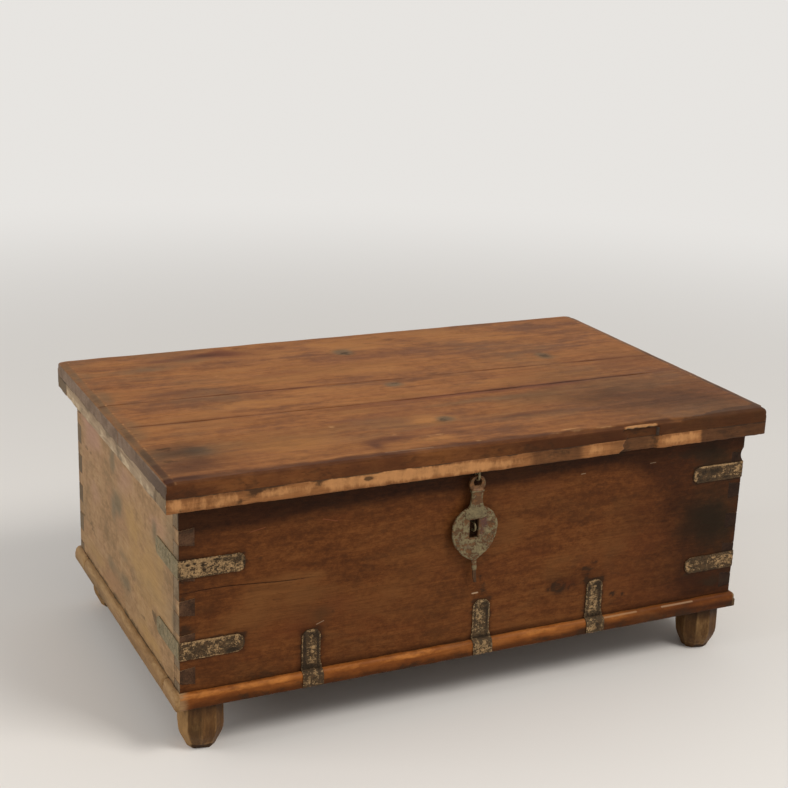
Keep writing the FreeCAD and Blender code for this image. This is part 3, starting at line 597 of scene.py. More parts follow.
cut_end = end_grain("cut_end", (0.035, 0.016, 0.008), (0.075, 0.036, 0.018), (0.125, 0.062, 0.031),
                    bare_and_highlight=(0.2, 0.1, 0.05))
board_end = end_grain("lid_board_end", (0.12, 0.078, 0.05), (0.2, 0.132, 0.088), (0.28, 0.2, 0.14), seed=2.0)
side_end = end_grain("tail_end", (0.12, 0.08, 0.045), (0.2, 0.14, 0.082), (0.27, 0.195, 0.118), seed=4.0)
print("cut ends: 3 of", len(bpy.data.materials), "materials")

# %% [markdown]
# ## The colour of each board
# The top was waxed and handled to a red brown, the front is darker, and the bleached ends are a dry tan.
# Every finish names its dark, middle and light tone, then its clouds, tints and the scratches it has.

# %% Lid finishes
pale_scratch = (0.42, 0.3, 0.19)
top_teak = teak(
    "lid_top_teak", "X", (0.142, 0.049, 0.013), (0.278, 0.103, 0.0275), (0.378, 0.156, 0.046),
    bare_and_highlight=(0.4, 0.2, 0.08), rough=0.55, specular=0.08, figure=0.12, contrast=1.05, pull=0.3,
    parts=(0.46, 0.28, 0.26), fibres=0.22, wear=(0.6, 0.5),
    clouds=(((0.18, 0.06, 0.022), 9.0, 0.32, 0.5), ((0.2, 0.115, 0.048), 6.0, 0.35, 0.5)),
    tints=(("warm", (0.4, 0.168, 0.047)), ("olive", (0.165, 0.1, 0.048)), ("red", (0.18, 0.055, 0.02))),
    marks=(((-170, -290, 428), (-95, -293, 428), 1.2, pale_scratch, 0.4),))
lip_teak = teak(
    "lip_teak", "X", (0.165, 0.064, 0.021), (0.31, 0.128, 0.042), (0.395, 0.176, 0.063),
    bare_and_highlight=(0.46, 0.216, 0.08), tear=(0.6, 1, 0.22), wear=(0.6, 0.8), rough=0.5, figure=0.15, seed=1.7)
lid_end_teak = teak(
    "lip_end_teak", "Y", (0.2, 0.13, 0.075), (0.32, 0.225, 0.135), (0.41, 0.3, 0.19),
    bare_and_highlight=(0.47, 0.36, 0.235), grime_and_shade=(0.13, 0.095, 0.06), wear=(0.5, 0.7),
    rough=0.6, figure=0.1, pull=0.2, seed=2.3)
print("materials with the lid's:", len(bpy.data.materials))

# %% Case finishes
red_scratch = (0.22, 0.07, 0.03)
front_scratches = (
    ((-13, -284.5, 178.2), (-4, -284.5, 178.6), 1.5, pale_scratch, 0.85),
    ((-269, -284.5, 172), (-258, -284.5, 176), 0.9, pale_scratch, 0.5),
    ((-372, -284.5, 332), (-350, -284.5, 336), 0.8, red_scratch, 0.6),
    ((-262, -284.5, 336), (-240, -284.5, 330), 0.8, red_scratch, 0.6),
    ((168, -284.5, 349), (175, -284.5, 349.4), 0.9, pale_scratch, 0.6),
    ((295, -284.5, 351), (305, -284.5, 351.5), 0.9, pale_scratch, 0.4),
)
front_teak = teak(
    "front_teak", "X", (0.072, 0.022, 0.0053), (0.133, 0.0422, 0.0098), (0.188, 0.0655, 0.0165),
    bare_and_highlight=(0.26, 0.125, 0.055), rough=0.58, specular=0.09, figure=0.1, contrast=1.05, relief=0.25, pull=0.2,
    parts=(0.34, 0.24, 0.42), fibres=0.3, flecks=170.0, seed=3.1, marks=front_scratches,
    clouds=(((0.15, 0.042, 0.011), 11.0, 0.32, 0.5), ((0.072, 0.037, 0.012), 9.0, 0.3, 0.52),
            ((0.165, 0.066, 0.018), 7.0, 0.28, 0.52)),
    tints=(("warm", (0.2, 0.08, 0.023)), ("red", (0.15, 0.037, 0.011)), ("olive", (0.058, 0.036, 0.014))))
side_teak = teak(
    "end_board_teak", "Y", (0.21, 0.125, 0.055), (0.345, 0.205, 0.1), (0.43, 0.275, 0.145),
    bare_and_highlight=(0.5, 0.35, 0.2), grime_and_shade=(0.11, 0.075, 0.042), rough=0.62, specular=0.1, figure=0.1, pull=0.1,
    parts=(0.45, 0.17, 0.38), fibres=0.3, seed=5.3,
    clouds=(((0.25, 0.175, 0.095), 7.0, 0.45, 0.52), ((0.38, 0.205, 0.105), 9.0, 0.5, 0.52)),
    tints=(("warm", (0.39, 0.235, 0.09)), ("red", (0.39, 0.225, 0.15)), ("olive", (0.18, 0.135, 0.078))))
inner_tones = (0.1, 0.062, 0.034), (0.19, 0.12, 0.066), (0.28, 0.19, 0.11)
inner_teak = teak("inside_teak", "X", *inner_tones, bare_and_highlight=(0.3, 0.2, 0.12), rough=0.7, seed=4.4)
inner_side_teak = teak("inside_end_teak", "Y", *inner_tones, bare_and_highlight=(0.3, 0.2, 0.12), rough=0.7, seed=6.4)
print("materials with the case's:", len(bpy.data.materials))

# %% Base and foot finishes
# The two pale lines along the top of the front nosing, from x 226 to 398 mm, are painted highlights.
base_teak = teak(
    "base_teak", "X", (0.12, 0.033, 0.007), (0.235, 0.071, 0.0125), (0.335, 0.112, 0.023),
    bare_and_highlight=(0.42, 0.152, 0.033), wear=(0.4, 0.8), parts=(0.5, 0.3, 0.2), fibres=0.25, rough=0.46,
    specular=0.09, figure=0.15, seed=7.9, tints=(("warm", (0.33, 0.2, 0.095)),),
    marks=(((338, -291, 98.6), (398, -291, 98.6), 2.2, (0.4, 0.26, 0.15), 0.55),
           ((226, -291, 98.6), (288, -291, 98.6), 2.2, (0.4, 0.24, 0.12), 0.5)))
base_side_teak = teak(
    "base_end_teak", "Y", (0.2, 0.105, 0.036), (0.315, 0.18, 0.074), (0.395, 0.247, 0.112),
    bare_and_highlight=(0.43, 0.28, 0.135), grime_and_shade=(0.08, 0.055, 0.032), wear=(0.4, 0.8), rough=0.55, figure=0.15, seed=9.1)
foot_teak = teak(
    "foot_teak", "Z", (0.065, 0.028, 0.009), (0.125, 0.057, 0.0175), (0.19, 0.092, 0.029),
    bare_and_highlight=(0.28, 0.158, 0.06), wear=(0.4, 0.8), pull=0.2, rough=0.5, figure=0.12, relief=0.4, seed=8.2,
    tints=(("olive", (0.06, 0.035, 0.011)),))
print("materials with the base's:", len(bpy.data.materials))

# %% [markdown]
# ## Iron finishes
# The straps were painted over with the wall's limewash more than once, so beige crusts sit on dark rusty
# iron. The mesh says how much limewash is left in each place and where a highlight is painted in its pale
# colour, and coarse, fine and slashed noise break it into crusts with dark rims. The hasp was handled more
# and keeps an olive skin with rust spots.

# %% Lime on iron
DUST_TONES = [(0.38, (0.15, 0.12, 0.066)), (0.5, (0.23, 0.185, 0.105)), (0.62, (0.3, 0.23, 0.13))]
RED_RUST = (0.1, 0.042, 0.033)


def crusts(tree, place, scale, parts):
    """Coarse and fine noise, and their mixture with slashes that lean over by a fixed turn."""
    lean = {"Vector": place, "Rotation": (0.0, math.radians(38), 0.0), "Scale": (0.22, 1, 1)}
    coarse = noise(tree, place, scale, 6.0, 0.72, 0.5)
    fine = noise(tree, place, scale * 4.0, 4.0, 0.72)
    slash = noise(tree, add(tree, "Mapping", lean).outputs["Vector"], scale * 3.0, 3.0, 0.6)
    return coarse, fine, mixture(tree, *zip((coarse, fine, slash), parts))


def iron(name, bare_iron, rust, lime_and_highlight, scale=120.0, rough=0.65, metal=0.05, specular=0.16, seed=0.0,
         parts=(0.38, 0.38, 0.24)):
    """Forged iron with crusts of old limewash. The mesh says where the limewash with its painted highlights,
    the dark, the dust and the red rust are; parts are shares of coarse, fine and slashed noise in the crusts'
    borders."""
    material, tree, whole, shader = new_material(name)
    place = moved(tree, whole, (seed, seed, seed))
    coarse, fine, crust = crusts(tree, place, scale, parts)
    level = maths(tree, "ADD", number(tree, "lime_and_highlight"), between(tree, crust, 0.38, 0.62, -0.62, 0.62))
    limed_and_highlight = between(tree, level, 0.28, 0.74)
    rim_out = between(tree, level, 0.46, 0.66, 1.0, 0.0)
    rim = maths(tree, "MULTIPLY", between(tree, level, 0.24, 0.46), rim_out)
    lime_and_highlight_tones = [(0.36, times(lime_and_highlight, 0.5)), (0.5, lime_and_highlight), (0.64, times(lime_and_highlight, 1.6))]
    rusty = between(tree, noise(tree, place, scale * 1.7, 5.0, 0.7), 0.44, 0.6)
    colour = blend(tree, rusty, bare_iron, rust)
    colour = blend(tree, limed_and_highlight, colour, ramp(tree, mixture(tree, (fine, 0.6), (coarse, 0.4)), lime_and_highlight_tones))
    colour = blend(tree, maths(tree, "MULTIPLY", rim, 0.35), colour, times(bare_iron, 0.5))
    colour = blend(tree, mask(tree, "red", fine, 0.6, 0.6), colour, RED_RUST)
    colour = blend(tree, mask(tree, "dust", fine, 0.4, 0.7), colour, ramp(tree, coarse, DUST_TONES))
    colour = blend(tree, mask(tree, "dark", fine, 0.5, 0.45), colour, times(bare_iron, 0.6))
    dull = between(tree, fine, 0.2, 0.8, rough - 0.1, rough + 0.2)
    finished(tree, shader, colour, dull, mixture(tree, (limed_and_highlight, 0.35), (crust, 1.0)), 0.8, 1.3 * mm, specular)
    shader.inputs["Metallic"].default_value = metal
    return material

# %% Three irons
lime_iron = iron("limewashed_iron", (0.052, 0.032, 0.016), (0.09, 0.05, 0.022), (0.285, 0.178, 0.083))
hasp_iron = iron("hasp_iron", (0.105, 0.047, 0.017), (0.165, 0.073, 0.024), (0.17, 0.132, 0.066), scale=85.0,
                 rough=0.5, metal=0.25, specular=0.3, seed=3.0, parts=(0.52, 0.34, 0.14))
dark_iron = iron("dark_iron", (0.035, 0.025, 0.018), (0.07, 0.034, 0.016), (0.12, 0.08, 0.05), scale=120.0,
                 rough=0.6, metal=0.35, specular=0.3, seed=6.0)
print("materials with the irons:", len(bpy.data.materials))

# %% [markdown]
# ## The lid boards
# Three boards lie side by side. Their front arris is soft at the left and was broken and rolled over
# between the middle and the right end, so its radius is a function of X. The ends carry a narrow worn
# bevel. The top sinks by a few tenths of a millimetre in places, so that light moves over it.

# %% The lid's sizes, read from the frame


def as_box(node):
    """Lower and upper corner of a node in the frame."""
    return [np.array(c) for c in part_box(node)]


lid_lo, lid_hi = (np.array(c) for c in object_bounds())
lid_top, lid_end, lid_front = lid_hi[2], lid_hi[0], lid_lo[1]
bevel_width, bevel_drop = 13 * mm, 2 * mm
corner_round = 6 * mm
print("lid: top %.0f, half length %.0f, front %.0f mm" % (lid_top / mm, lid_end / mm, lid_front / mm))

# %% The front arris and its notch
notch_left, notch_right, notch_deep = 228 * mm, 290 * mm, 4.8 * mm
notch_ceiling = lid_top - 7 * mm


def front_roll(x):
    """Radius of the lid's front arris along X: soft, then rolled over right of the middle."""
    rolled = stretch(x, 105, 345, 25)
    place = np.stack([x, 0 * x, 0 * x], 1)
    return (4.2 + 5.0 * rolled + 2.6 * step_up(x, 0.36, 0.41) + 1.1 * waves(place, 45, 5)
            + 0.5 * waves(place, 12, 6)) * mm


def notch(points):
    """The pocket broken out of the lid's front edge: sharp on the right, ragged on the left and the top."""
    x, y, z = points.T
    ragged = notch_left + 7 * mm * waves(points * [0, 0, 1], 16, 9)
    ceiling = notch_ceiling + 1.6 * mm * waves(points * [1, 0, 0], 14, 19)
    across = window(x, ragged, notch_right, 1.6 * mm)
    below = 1 - rise(z - ceiling, -1.2, 0.6)
    return across * below * (1 - rise(y - lid_front, 3, 9))


print("front arris in mm at the left and at the break:", np.round(front_roll(np.array([-0.4, 0.25])) / mm, 1))

# %% Joints that run askew
askew_x = np.array([-500, -300, -100, 0, 200, 350, 500]) * mm
askew_front = np.array([10, 6, 1, 0, 0, 0, 0]) * mm
askew_back = np.array([6, 1, -5, -9, -13, -19, -22]) * mm
joint_front, joint_back = (corner[1] for corner in as_box("top_board_middle"))


def askew(x, y):
    """The joints don't run quite level: each moves by a function of X, and what lies between follows."""
    near_front = np.interp(y, [lid_front, joint_front, joint_back], [0, 1, 0])
    near_back = np.interp(y, [joint_front, joint_back, -lid_front], [0, 1, 0])
    return near_front * np.interp(x, askew_x, askew_front) + near_back * np.interp(x, askew_x, askew_back)


print("joints at y %.0f and %.0f mm" % (joint_front / mm, joint_back / mm))

# %% One lid board


def corner_cut(points, radius):
    """Rounds the upright edge at the lid's front right: in plan, points stay within a quarter circle."""
    x, y = points[:, 0], points[:, 1]
    out_x, out_y = x - (lid_end - radius), (lid_front + radius) - y
    reach = np.hypot(out_x, out_y)
    shrink = np.where((out_x > 0) & (out_y > 0), np.minimum(radius / np.maximum(reach, 1e-9), 1), 1)
    at_corner = shrink < 1
    points = points.copy()
    points[:, 0] = np.where(at_corner, lid_end - radius + out_x * shrink, x)
    points[:, 1] = np.where(at_corner, lid_front + radius - out_y * shrink, y)
    return points


def board_radius(points, lo, hi, soft_front, soft_back):
    """Radius of the arris: small between the boards, larger at the front, the end and the back."""
    x, y, z = points.T
    top = z > (lo[2] + hi[2]) / 2
    radius = np.where(top, 0.8 * mm, 0.4 * mm)
    if soft_front:
        at_front = y < lo[1] + 20 * mm
        radius = np.where(at_front & (z > lo[2] + 8 * mm), front_roll(x), radius)
        radius = np.where(at_front & (x > hi[0] - 14 * mm) & (z > lo[2] + 11 * mm), 8 * mm, radius)
    if soft_back:
        radius = np.where((y > hi[1] - 12 * mm) & top, 4.5 * mm, radius)
    return radius


def lid_board(name, soft_front, soft_back, seed):
    """Rounded box whose top is lowered by the end bevel and two waves, with the notch and the askew joints.
    Gives the points, the quads, and each point's Y before the joints were turned."""
    lo, hi = as_box(name)
    points, quads = box_skin(lo, hi, (3, 4.5, 2), (8, 11 if soft_front else 2, 2))
    points = rounded(points, lo, hi, board_radius(points, lo, hi, soft_front, soft_back))
    points = corner_cut(points, corner_round)
    x, y, z = points.T
    lift = (z - lo[2]) / (hi[2] - lo[2])
    bevel = np.clip((np.abs(x) - (hi[0] - bevel_width)) / bevel_width, 0, 1)
    z = z - lift * (bevel_drop * bevel + 0.28 * mm * (1 + waves(points, 130, seed)))
    z = z - lift * 0.12 * mm * (1 + waves(points * [0.15, 1, 1], 14, seed + 1))
    points = np.stack([x, y, z], 1)
    if soft_front:
        points[:, 1] += notch_deep * notch(points)
    straight = points[:, 1].copy()
    points[:, 1] += askew(x, straight)
    return points, quads, straight


print("end bevel: %.0f mm wide, %.0f mm deep" % (bevel_width / mm, bevel_drop / mm))

# %% [markdown]
# ## Marks on the lid boards
# The back joint is dark along most of its length, the front one from the middle on. The photograph shows
# orange, olive and red-brown places, so each kind has its own table and its own tint in the finish.

# %% Places with another colour
# Places are x and y.
top_warm = [
    (-280, -15, 130, 32, 0.8), (-110, 20, 90, 22, 0.6), (0, 85, 70, 35, 0.5), (60, 30, 90, 12, 0.4),
    (240, 160, 90, 60, 0.35), (-270, -222, 90, 36, 0.8), (-40, -178, 50, 26, 1.1),
    (-70, -262, 60, 14, 0.9), (-330, -262, 80, 10, 0.5), (-200, 90, 140, 22, 0.35),
    (150, -30, 120, 26, 0.4), (-150, 50, 60, 8, 0.5), (-420, 250, 50, 40, 0.3), (-60, 260, 60, 30, 0.3),
    (120, 220, 260, 60, 0.22), (20, 235, 420, 70, 0.26),
]
top_olive = [
    (-385, 208, 66, 20, 0.65), (-443, -198, 54, 36, 0.3), (-300, 245, 80, 30, 0.4),
    (-23, 203, 20, 18, 1.2), (-19, 6, 19, 16, 1.2), (-20, -183, 18, 15, 1.2), (306, 78, 15, 24, 1.0),
    (-415, -196, 20, 20, 0.5), (60, -118, 120, 14, 0.55), (300, -150, 130, 60, 0.12),
    (430, 60, 60, 130, 0.1), (420, -240, 90, 60, 0.15), (-480, 40, 16, 260, 0.5),
]
top_red = [
    (-270, 262, 60, 16, 0.8), (-345, 246, 34, 9, 0.6), (-225, 275, 20, 26, 0.5),
    (-440, -250, 60, 36, 0.4), (-130, -238, 44, 16, 0.8), (-172, -258, 14, 20, 0.6),
    (-40, -85, 260, 9, 0.4), (150, -80, 220, 10, 0.4), (420, -60, 90, 180, 0.3),
    (-60, -216, 60, 8, 0.6), (110, -203, 100, 10, 0.7), (60, -240, 120, 20, 0.4),
    (160, 190, 30, 16, 0.3), (-180, 122, 60, 14, 0.35), (-200, 240, 50, 24, 0.4),
    (230, -90, 60, 16, 0.3), (-250, 32, 200, 5, 0.3),
]
print("coloured places on the top:", len(top_warm) + len(top_olive) + len(top_red))

# %% Small dark and pale places
# Places are x and y.
top_smudges = [
    (-19, 9, 9, 6, 0.55), (-23, 198, 11, 8, 0.5), (-23, -185, 10, 7, 0.4), (307, 75, 10, 16, 0.42),
    (-415, -196, 14, 14, 0.36), (-455, -178, 16, 12, 0.36), (-440, -208, 18, 10, 0.34),
    (-290, -76, 10, 3, 0.4), (-472, -222, 14, 12, 0.34),
]
top_darkened = [
    (300, -190, 200, 80, 0.32), (430, -250, 90, 60, 0.2), (-270, 260, 60, 14, 0.5),
    (-345, 246, 34, 10, 0.25), (-250, -200, 200, 80, 0.12), (-19, 8, 14, 9, 0.35),
    (-23, 201, 15, 10, 0.35), (-21, -184, 12, 9, 0.25), (306, 76, 12, 18, 0.3),
    (-130, -240, 40, 12, 0.35), (-455, -225, 60, 60, 0.26), (-440, -180, 40, 26, 0.3),
    (-172, -258, 12, 18, 0.35), (100, -205, 90, 9, 0.35), (-440, -260, 50, 26, 0.3),
]
# The pale rows near y = -291 lie on the front arris: worn wood, with a painted highlight where the arris
# catches the light.
top_paler = [
    (-277, 142, 2, 4, 0.8), (-200, -160, 5, 8, 0.6), (-125, -222, 6, 4, 0.6), (-18, -290, 5, 3, 0.9),
    (130, -291, 22, 2.5, 0.7), (-330, -178, 40, 3, 0.4), (-62, -247, 40, 4, 0.35),
    (40, -294, 30, 2, 0.5),
]
print("small places on the top:", len(top_smudges) + len(top_darkened) + len(top_paler))

# %% Dark lines and painted shadow along the two joints
joint_x = np.array([-500, -460, -350, -280, -200, -100, -20, 60, 150, 300, 380, 500]) * mm
joint_back_dark = np.array([0.2, 0.5, 0.85, 1.0, 0.75, 0.5, 0.7, 0.6, 0.55, 0.45, 0.3, 0.12])
joint_front_dark = np.array([0.1, 0.4, 0.4, 0.38, 0.4, 0.22, 0.4, 0.6, 0.66, 0.58, 0.4, 0.12])
joint_reach, joint_line = 4.5 * mm, 1.2 * mm


def joint_darkening(x, straight):
    """Painted soft shadow and a thin dark line along both joints: a bell over the distance, times an amount
    along X.
    """
    soft, thin = 0 * x, 0 * x
    for joint, along_joint in ((joint_back, joint_back_dark), (joint_front, joint_front_dark)):
        amount = np.interp(x, joint_x, along_joint)
        gap = np.abs(straight - joint)
        soft = np.maximum(soft, amount * np.exp(-(gap / joint_reach) ** 2))
        thin = np.maximum(thin, amount * (gap < joint_line))
    return soft, thin


print("joint dirt reaches %.1f mm" % (joint_reach / mm))

# %% Numbers on the top's face


def on_top(z):
    """1 on the top's face and 0 below its arris."""
    return rise(z - lid_top, -6, -2.5)


def top_marks(points, straight):
    """Spots of each kind added up, with what the end bevel, the painted shade toward the front and the right
    end, and the joints add.
    """
    x, y, z = points.T
    at_end = np.abs(x) - (lid_end - bevel_width)
    on_bevel = step_up(at_end, 0, 3 * mm)
    ragged_wear = 0.38 + 0.35 * waves(points * [0, 1, 0], 14, 8)
    worn_line = stretch(at_end, -1.2, 0.1, 0.7) * ragged_wear
    # Painted shade: the top darkens toward the front and toward the right end, where less light falls on it.
    painted_shade_front = (1 - step_up(y, -0.2, 0.0)) * (1 - 0.7 * step_up(x, 0.0, 0.2))
    painted_shade_right = step_up(x, 0.0, 0.38) * (1 - step_up(y, -0.12, 0.16))
    shadow, line = joint_darkening(x, straight)
    dark = spots(x, y, top_darkened) + 0.2 * on_bevel + 0.15 * painted_shade_front + 0.36 * painted_shade_right
    marks = {
        "bare_and_highlight": spots(x, y, top_paler) + worn_line,
        "grime_and_shade": spots(x, y, top_smudges),
        "dark": dark + 0.6 * shadow,
        "red": 0.85 * spots(x, y, top_red) + 0.12 * on_bevel + 0.8 * shadow,
        "warm": 0.82 * spots(x, y, top_warm),
        "olive": 0.9 * spots(x, y, top_olive) + 0.45 * on_bevel,
        "line": 0.24 * line,
    }
    return {kind: on_top(z) * values for kind, values in marks.items()}

# %% The worn front edge
curve_x = np.array([300, 330, 370, 400, 440, 500]) * mm
curve_reach = np.array([0, 2, 7, 16, 23, 24]) * mm
# From x = 350 mm to the right end the band is darkest: painted shade, as the lid's front face lies in shadow
# there.
band_x = np.array([-500, -470, -300, -60, 0, 100, 330, 350, 500]) * mm
band_dark = np.array([0.62, 0.55, 0.48, 0.52, 0.66, 0.82, 0.85, 1.1, 1.1])


def mark_front_edge(points, marks):
    """A dark band on the front face, painted darker at the right end for the shadow that the face lies in
    there, a dark border on the top that widens to the right end, a pale stretch above the break that is worn
    wood with a painted highlight on the arris, a pale splinter over the notch, and the notch darker inside."""
    x, y, z = points.T
    edge = y - lid_front
    at_front = edge < 9 * mm
    face = 1 - rise(z - lid_top, -6.5, -1.5)
    splinter = at_front * window(x, notch_left, notch_right - 5 * mm, 3 * mm)
    splinter = splinter * stretch(z - lid_top, -7, -3, 0.6)
    rubbed_and_highlight = at_front * stretch(x, 100, 215, 12) * stretch(edge, 5, 10, 2)
    marks["bare_and_highlight"] += 0.95 * splinter + 0.5 * rubbed_and_highlight
    reach = (20 - 11 * step_up(x, 0.06, 0.16)) * mm + 3 * mm * waves(points * [1, 0, 0], 40, 78)
    marks["red"] += 0.4 * (1 - rise(edge - reach, -6, 6))
    dark = marks["dark"] + 0.45 * (1 - rise(edge - reach, -6, 3))
    dark = np.where(at_front, np.maximum(dark, face * np.interp(x, band_x, band_dark)), dark)
    curve = np.interp(x, curve_x, curve_reach) + 2 * mm * waves(points * [1, 0, 0], 30, 77)
    dark = np.maximum(dark, (1 - rise(edge - curve, -2, 2)) * step_up(x, 0.31, 0.34))
    marks["grime_and_shade"] += 0.12 * at_front * face * (x < 0.1) + 0.35 * notch(points)
    marks["dark"] = np.maximum(dark, 0.85 * notch(points)) - splinter


print("dark border on the top: up to %.0f mm" % (curve_reach.max() / mm))

# %% Three lid boards
lid_boards = (("top_board_front", True, False, 11), ("top_board_middle", False, False, 21),
              ("top_board_back", False, True, 31))

for board, soft_front, soft_back, seed in lid_boards:
    points, quads, straight = lid_board(board, soft_front, soft_back, seed)
    x, y, z = points.T
    normal = facing(points, quads)
    index = np.select([np.abs(normal[:, 0]) > 0.75, normal[:, 2] < -0.7], [1, 2], 0)
    marks = top_marks(points, straight)
    if soft_front:
        mark_front_edge(points, marks)
    near_end = np.abs(np.abs(x) - (lid_end - bevel_width)) < 14 * mm
    end_dark = (1 - on_top(z)) * near_end * (0.15 + 0.5 * (1 - step_up(y, -0.3, -0.1)))
    marks["dark"] = np.where(np.abs(x) > lid_end - 2 * mm, end_dark, marks["dark"])
    piece(board + "_worn", (points, quads), "lid", [board], [top_teak, board_end, inner_teak],
          index, marks)

# %% [markdown]
# ## The lip strips
# A frame of thinner strips is nailed under the boards' edges. Hands lift the lid by the front one, so its
# lower arris is round and its surface is rubbed pale in long patches. The strips meet at the corners in
# plain butt joints, which the frame already has, so each strip is one rounded box.

# %% One lip strip


def lip_strip(name, seed):
    """Rounded box whose outer lower arris is soft by two waves. The front one also has the notch."""
    lo, hi = as_box(name)
    points, quads = box_skin(lo, hi, (2.5, 5, 1.6), (5, 5, 4))
    x, y, z = points.T
    level = points * [1, 1, 0]
    outside = np.maximum(np.abs(x) - (lid_end - 6 * mm), np.abs(y) - (-lid_front - 6 * mm)) > 0
    soft = (2.4 + 1.1 * waves(level, 38, seed) + 0.5 * waves(level, 11, seed + 1)) * mm
    radius = np.where(outside & (z < lo[2] + 8 * mm), soft, np.where(outside, 0.7 * mm, 0.3 * mm))
    points = rounded(points, lo, hi, radius)
    if name == "lip_front":
        points[:, 1] += notch_deep * notch(points)
    return corner_cut(points, corner_round), quads


print("front strip: %.0f mm high" % (np.ptp([c[2] for c in as_box("lip_front")]) / mm))

# %% Marks on the strips
# Places are x and the depth under the lid's top.
lip_patches = [
    (-488, -32, 12, 8, 0.8), (-450, -30, 22, 5, 0.4), (-411, -33, 14, 8, 0.7), (-440, -38, 34, 5, 0.45),
    (-335, -33, 30, 7, 1.0), (-200, -31, 66, 9, 1.1), (-110, -32, 66, 8, 1.0), (-50, -34, 44, 7, 0.9),
    (10, -36, 44, 6, 0.65), (178, -33, 19, 9, 0.62), (320, -33, 30, 7, 0.85), (350, -31, 24, 6, 0.75),
    (178, -33, 5, 2, 0.7), (-260, -30, 20, 6, 0.6),
]
lip_stains = [
    (-204, -31, 6, 2.6, 1.2), (-370, -28, 12, 6, 0.7), (-279, -32, 8, 7, 0.6), (120, -28, 30, 5, 0.5),
    (430, -34, 60, 14, 0.15), (-395, -40, 6, 6, 0.4), (-480, -42, 5, 3, 0.6), (30, -28, 12, 5, 0.4),
]


def seam_dirt(depth):
    """Dirt in the seam under the lid boards."""
    return stretch(depth, -24.6, -22, 0.8)


def front_lip_marks(points):
    """Rubbed patches and stains from the tables, with stretches along X that stayed dark, and a right end
    painted dark for the shade it lies in.
    """
    x, y, z = points.T
    depth = z - lid_top
    front = y < lid_front + 7 * mm
    dark = 0.75 * stretch(x, 64, 155, 12) + 0.32 * stretch(x, -20, 64, 20)
    # Past x = 366 mm the strip is painted dark for the shade that the lid's front lies in at its right end.
    dark += 0.95 * rise(x, 366, 377) + 0.35 * stretch(x, 200, 228, 6)
    dark += 0.85 * notch(points)
    grime_and_shade = spots(x, depth, lip_stains) * front + 0.35 * notch(points) + 0.55 * seam_dirt(depth)
    return {"bare_and_highlight": spots(x, depth, lip_patches) * front, "grime_and_shade": grime_and_shade, "dark": dark}


def other_lip_marks(points, seed, at_end):
    """Wear from slow waves: worn pale along the lower arris, dirt in clouds, and a dark front part on the
    ends.
    """
    x, y, z = points.T
    depth = z - lid_top
    bare_and_highlight = window(waves(points * [1, 1, 0], 60, seed), 0.1, 2, 0.3) * rise(-depth, 26, 36)
    bare_and_highlight = 0.6 * bare_and_highlight + 0.45 * rise(-depth, 41, 44.5)
    grime_and_shade = 0.5 * seam_dirt(depth) + 0.3 * step_up(waves(points, 70, seed + 3), -0.1, 0.7)
    underside = 1 - step_up(z, z.min() + 0.5 * mm, z.min() + 3 * mm)
    end_dark = 0.45 * (1 - step_up(y, -0.3, -0.16)) + 0.35 * underside
    return {"bare_and_highlight": bare_and_highlight, "grime_and_shade": grime_and_shade, "dark": end_dark if at_end else 0.4 + 0 * x}


print("rubbed patches on the front strip:", len(lip_patches))

# %% Four lip strips
for strip_name, seed, wood in (("lip_front", 41, lip_teak), ("lip_back", 51, lip_teak),
                               ("lip_left", 61, lid_end_teak), ("lip_right", 71, lid_end_teak)):
    points, quads = lip_strip(strip_name, seed)
    at_end = wood is lid_end_teak
    cut = np.abs(facing(points, quads)[:, 1 if at_end else 0]) > 0.75
    marks = front_lip_marks(points) if strip_name == "lip_front" else other_lip_marks(points, seed, at_end)
    piece(strip_name + "_worn", (points, quads), "lid", [strip_name], [wood, side_end],
          cut, marks)

# %% [markdown]
# ## The case and its dovetails
# At each corner, pins cut on the end board reach through sockets in the front or back board, so the pins'
# dark end grain shows on the front. Each tail and pin is a small box whose upper and lower sides slope.
# They could be cut with booleans, but a box that is squeezed by a formula keeps clean quads.

# %% Sizes of the joints, read from the frame
front_lo, front_hi = as_box("front_panel")
back_lo, back_hi = as_box("back_panel")
case_end, case_low, case_high = front_hi[0], front_lo[2], front_hi[2]
inner_end = case_end - 23 * mm
pin_half, pin_flare = 10.5 * mm, 3 * mm
panel_height = case_high - case_low
pin_middles = case_high - panel_height * (0.163 + 0.188 * np.arange(5))
seam, saw_wander = 0.25 * mm, 0.4 * mm
print("pins at", np.round(pin_middles / mm), "mm")

# %% One pin or tail


def joint_half(x):
    """Half the pin's height along X: wide inside and narrow at the chest's end."""
    inside = (case_end - np.abs(x)) / (case_end - inner_end)
    return pin_half + pin_flare * np.clip(inside, 0, 1)


def wedge(side, y0, y1, low_edge, high_edge):
    """Small box at one end of a board whose lower and upper sides follow two functions of X."""
    tall = 30 * mm
    x0, x1 = sorted((side * inner_end, side * case_end))
    lo, hi = np.array([x0, y0, 0.0]), np.array([x1, y1, tall])
    points, quads = box_skin(lo, hi, (2, 4, 1.6), (1, 1, 1))
    outer = rise(np.abs(points[:, 0]) - inner_end, 0.5, 4)
    corner = rise(np.abs(points[:, 0]) - case_end, -4, -2)
    points = rounded(points, lo, hi, (0.4 * outer + 0.7 * corner) * mm)
    x = points[:, 0]
    share = points[:, 2] / tall
    points[:, 2] = low_edge(x) + share * (high_edge(x) - low_edge(x))
    return points, quads


def ragged(x, middle, amount):
    """The saw and the chisel wandered a little at each joint: a small wave along X, with its own start."""
    return amount * np.sin(x * 900 + middle * 977) * rise(np.abs(x) - inner_end, 1, 5)


def pin_edge(middle, sign, gap=0.0):
    """Height along X of a pin's upper edge (sign 1) or lower edge (sign -1), a gap further out for a tail."""
    return lambda x: middle + sign * (joint_half(x) + gap) + ragged(x, -sign * middle, saw_wander)


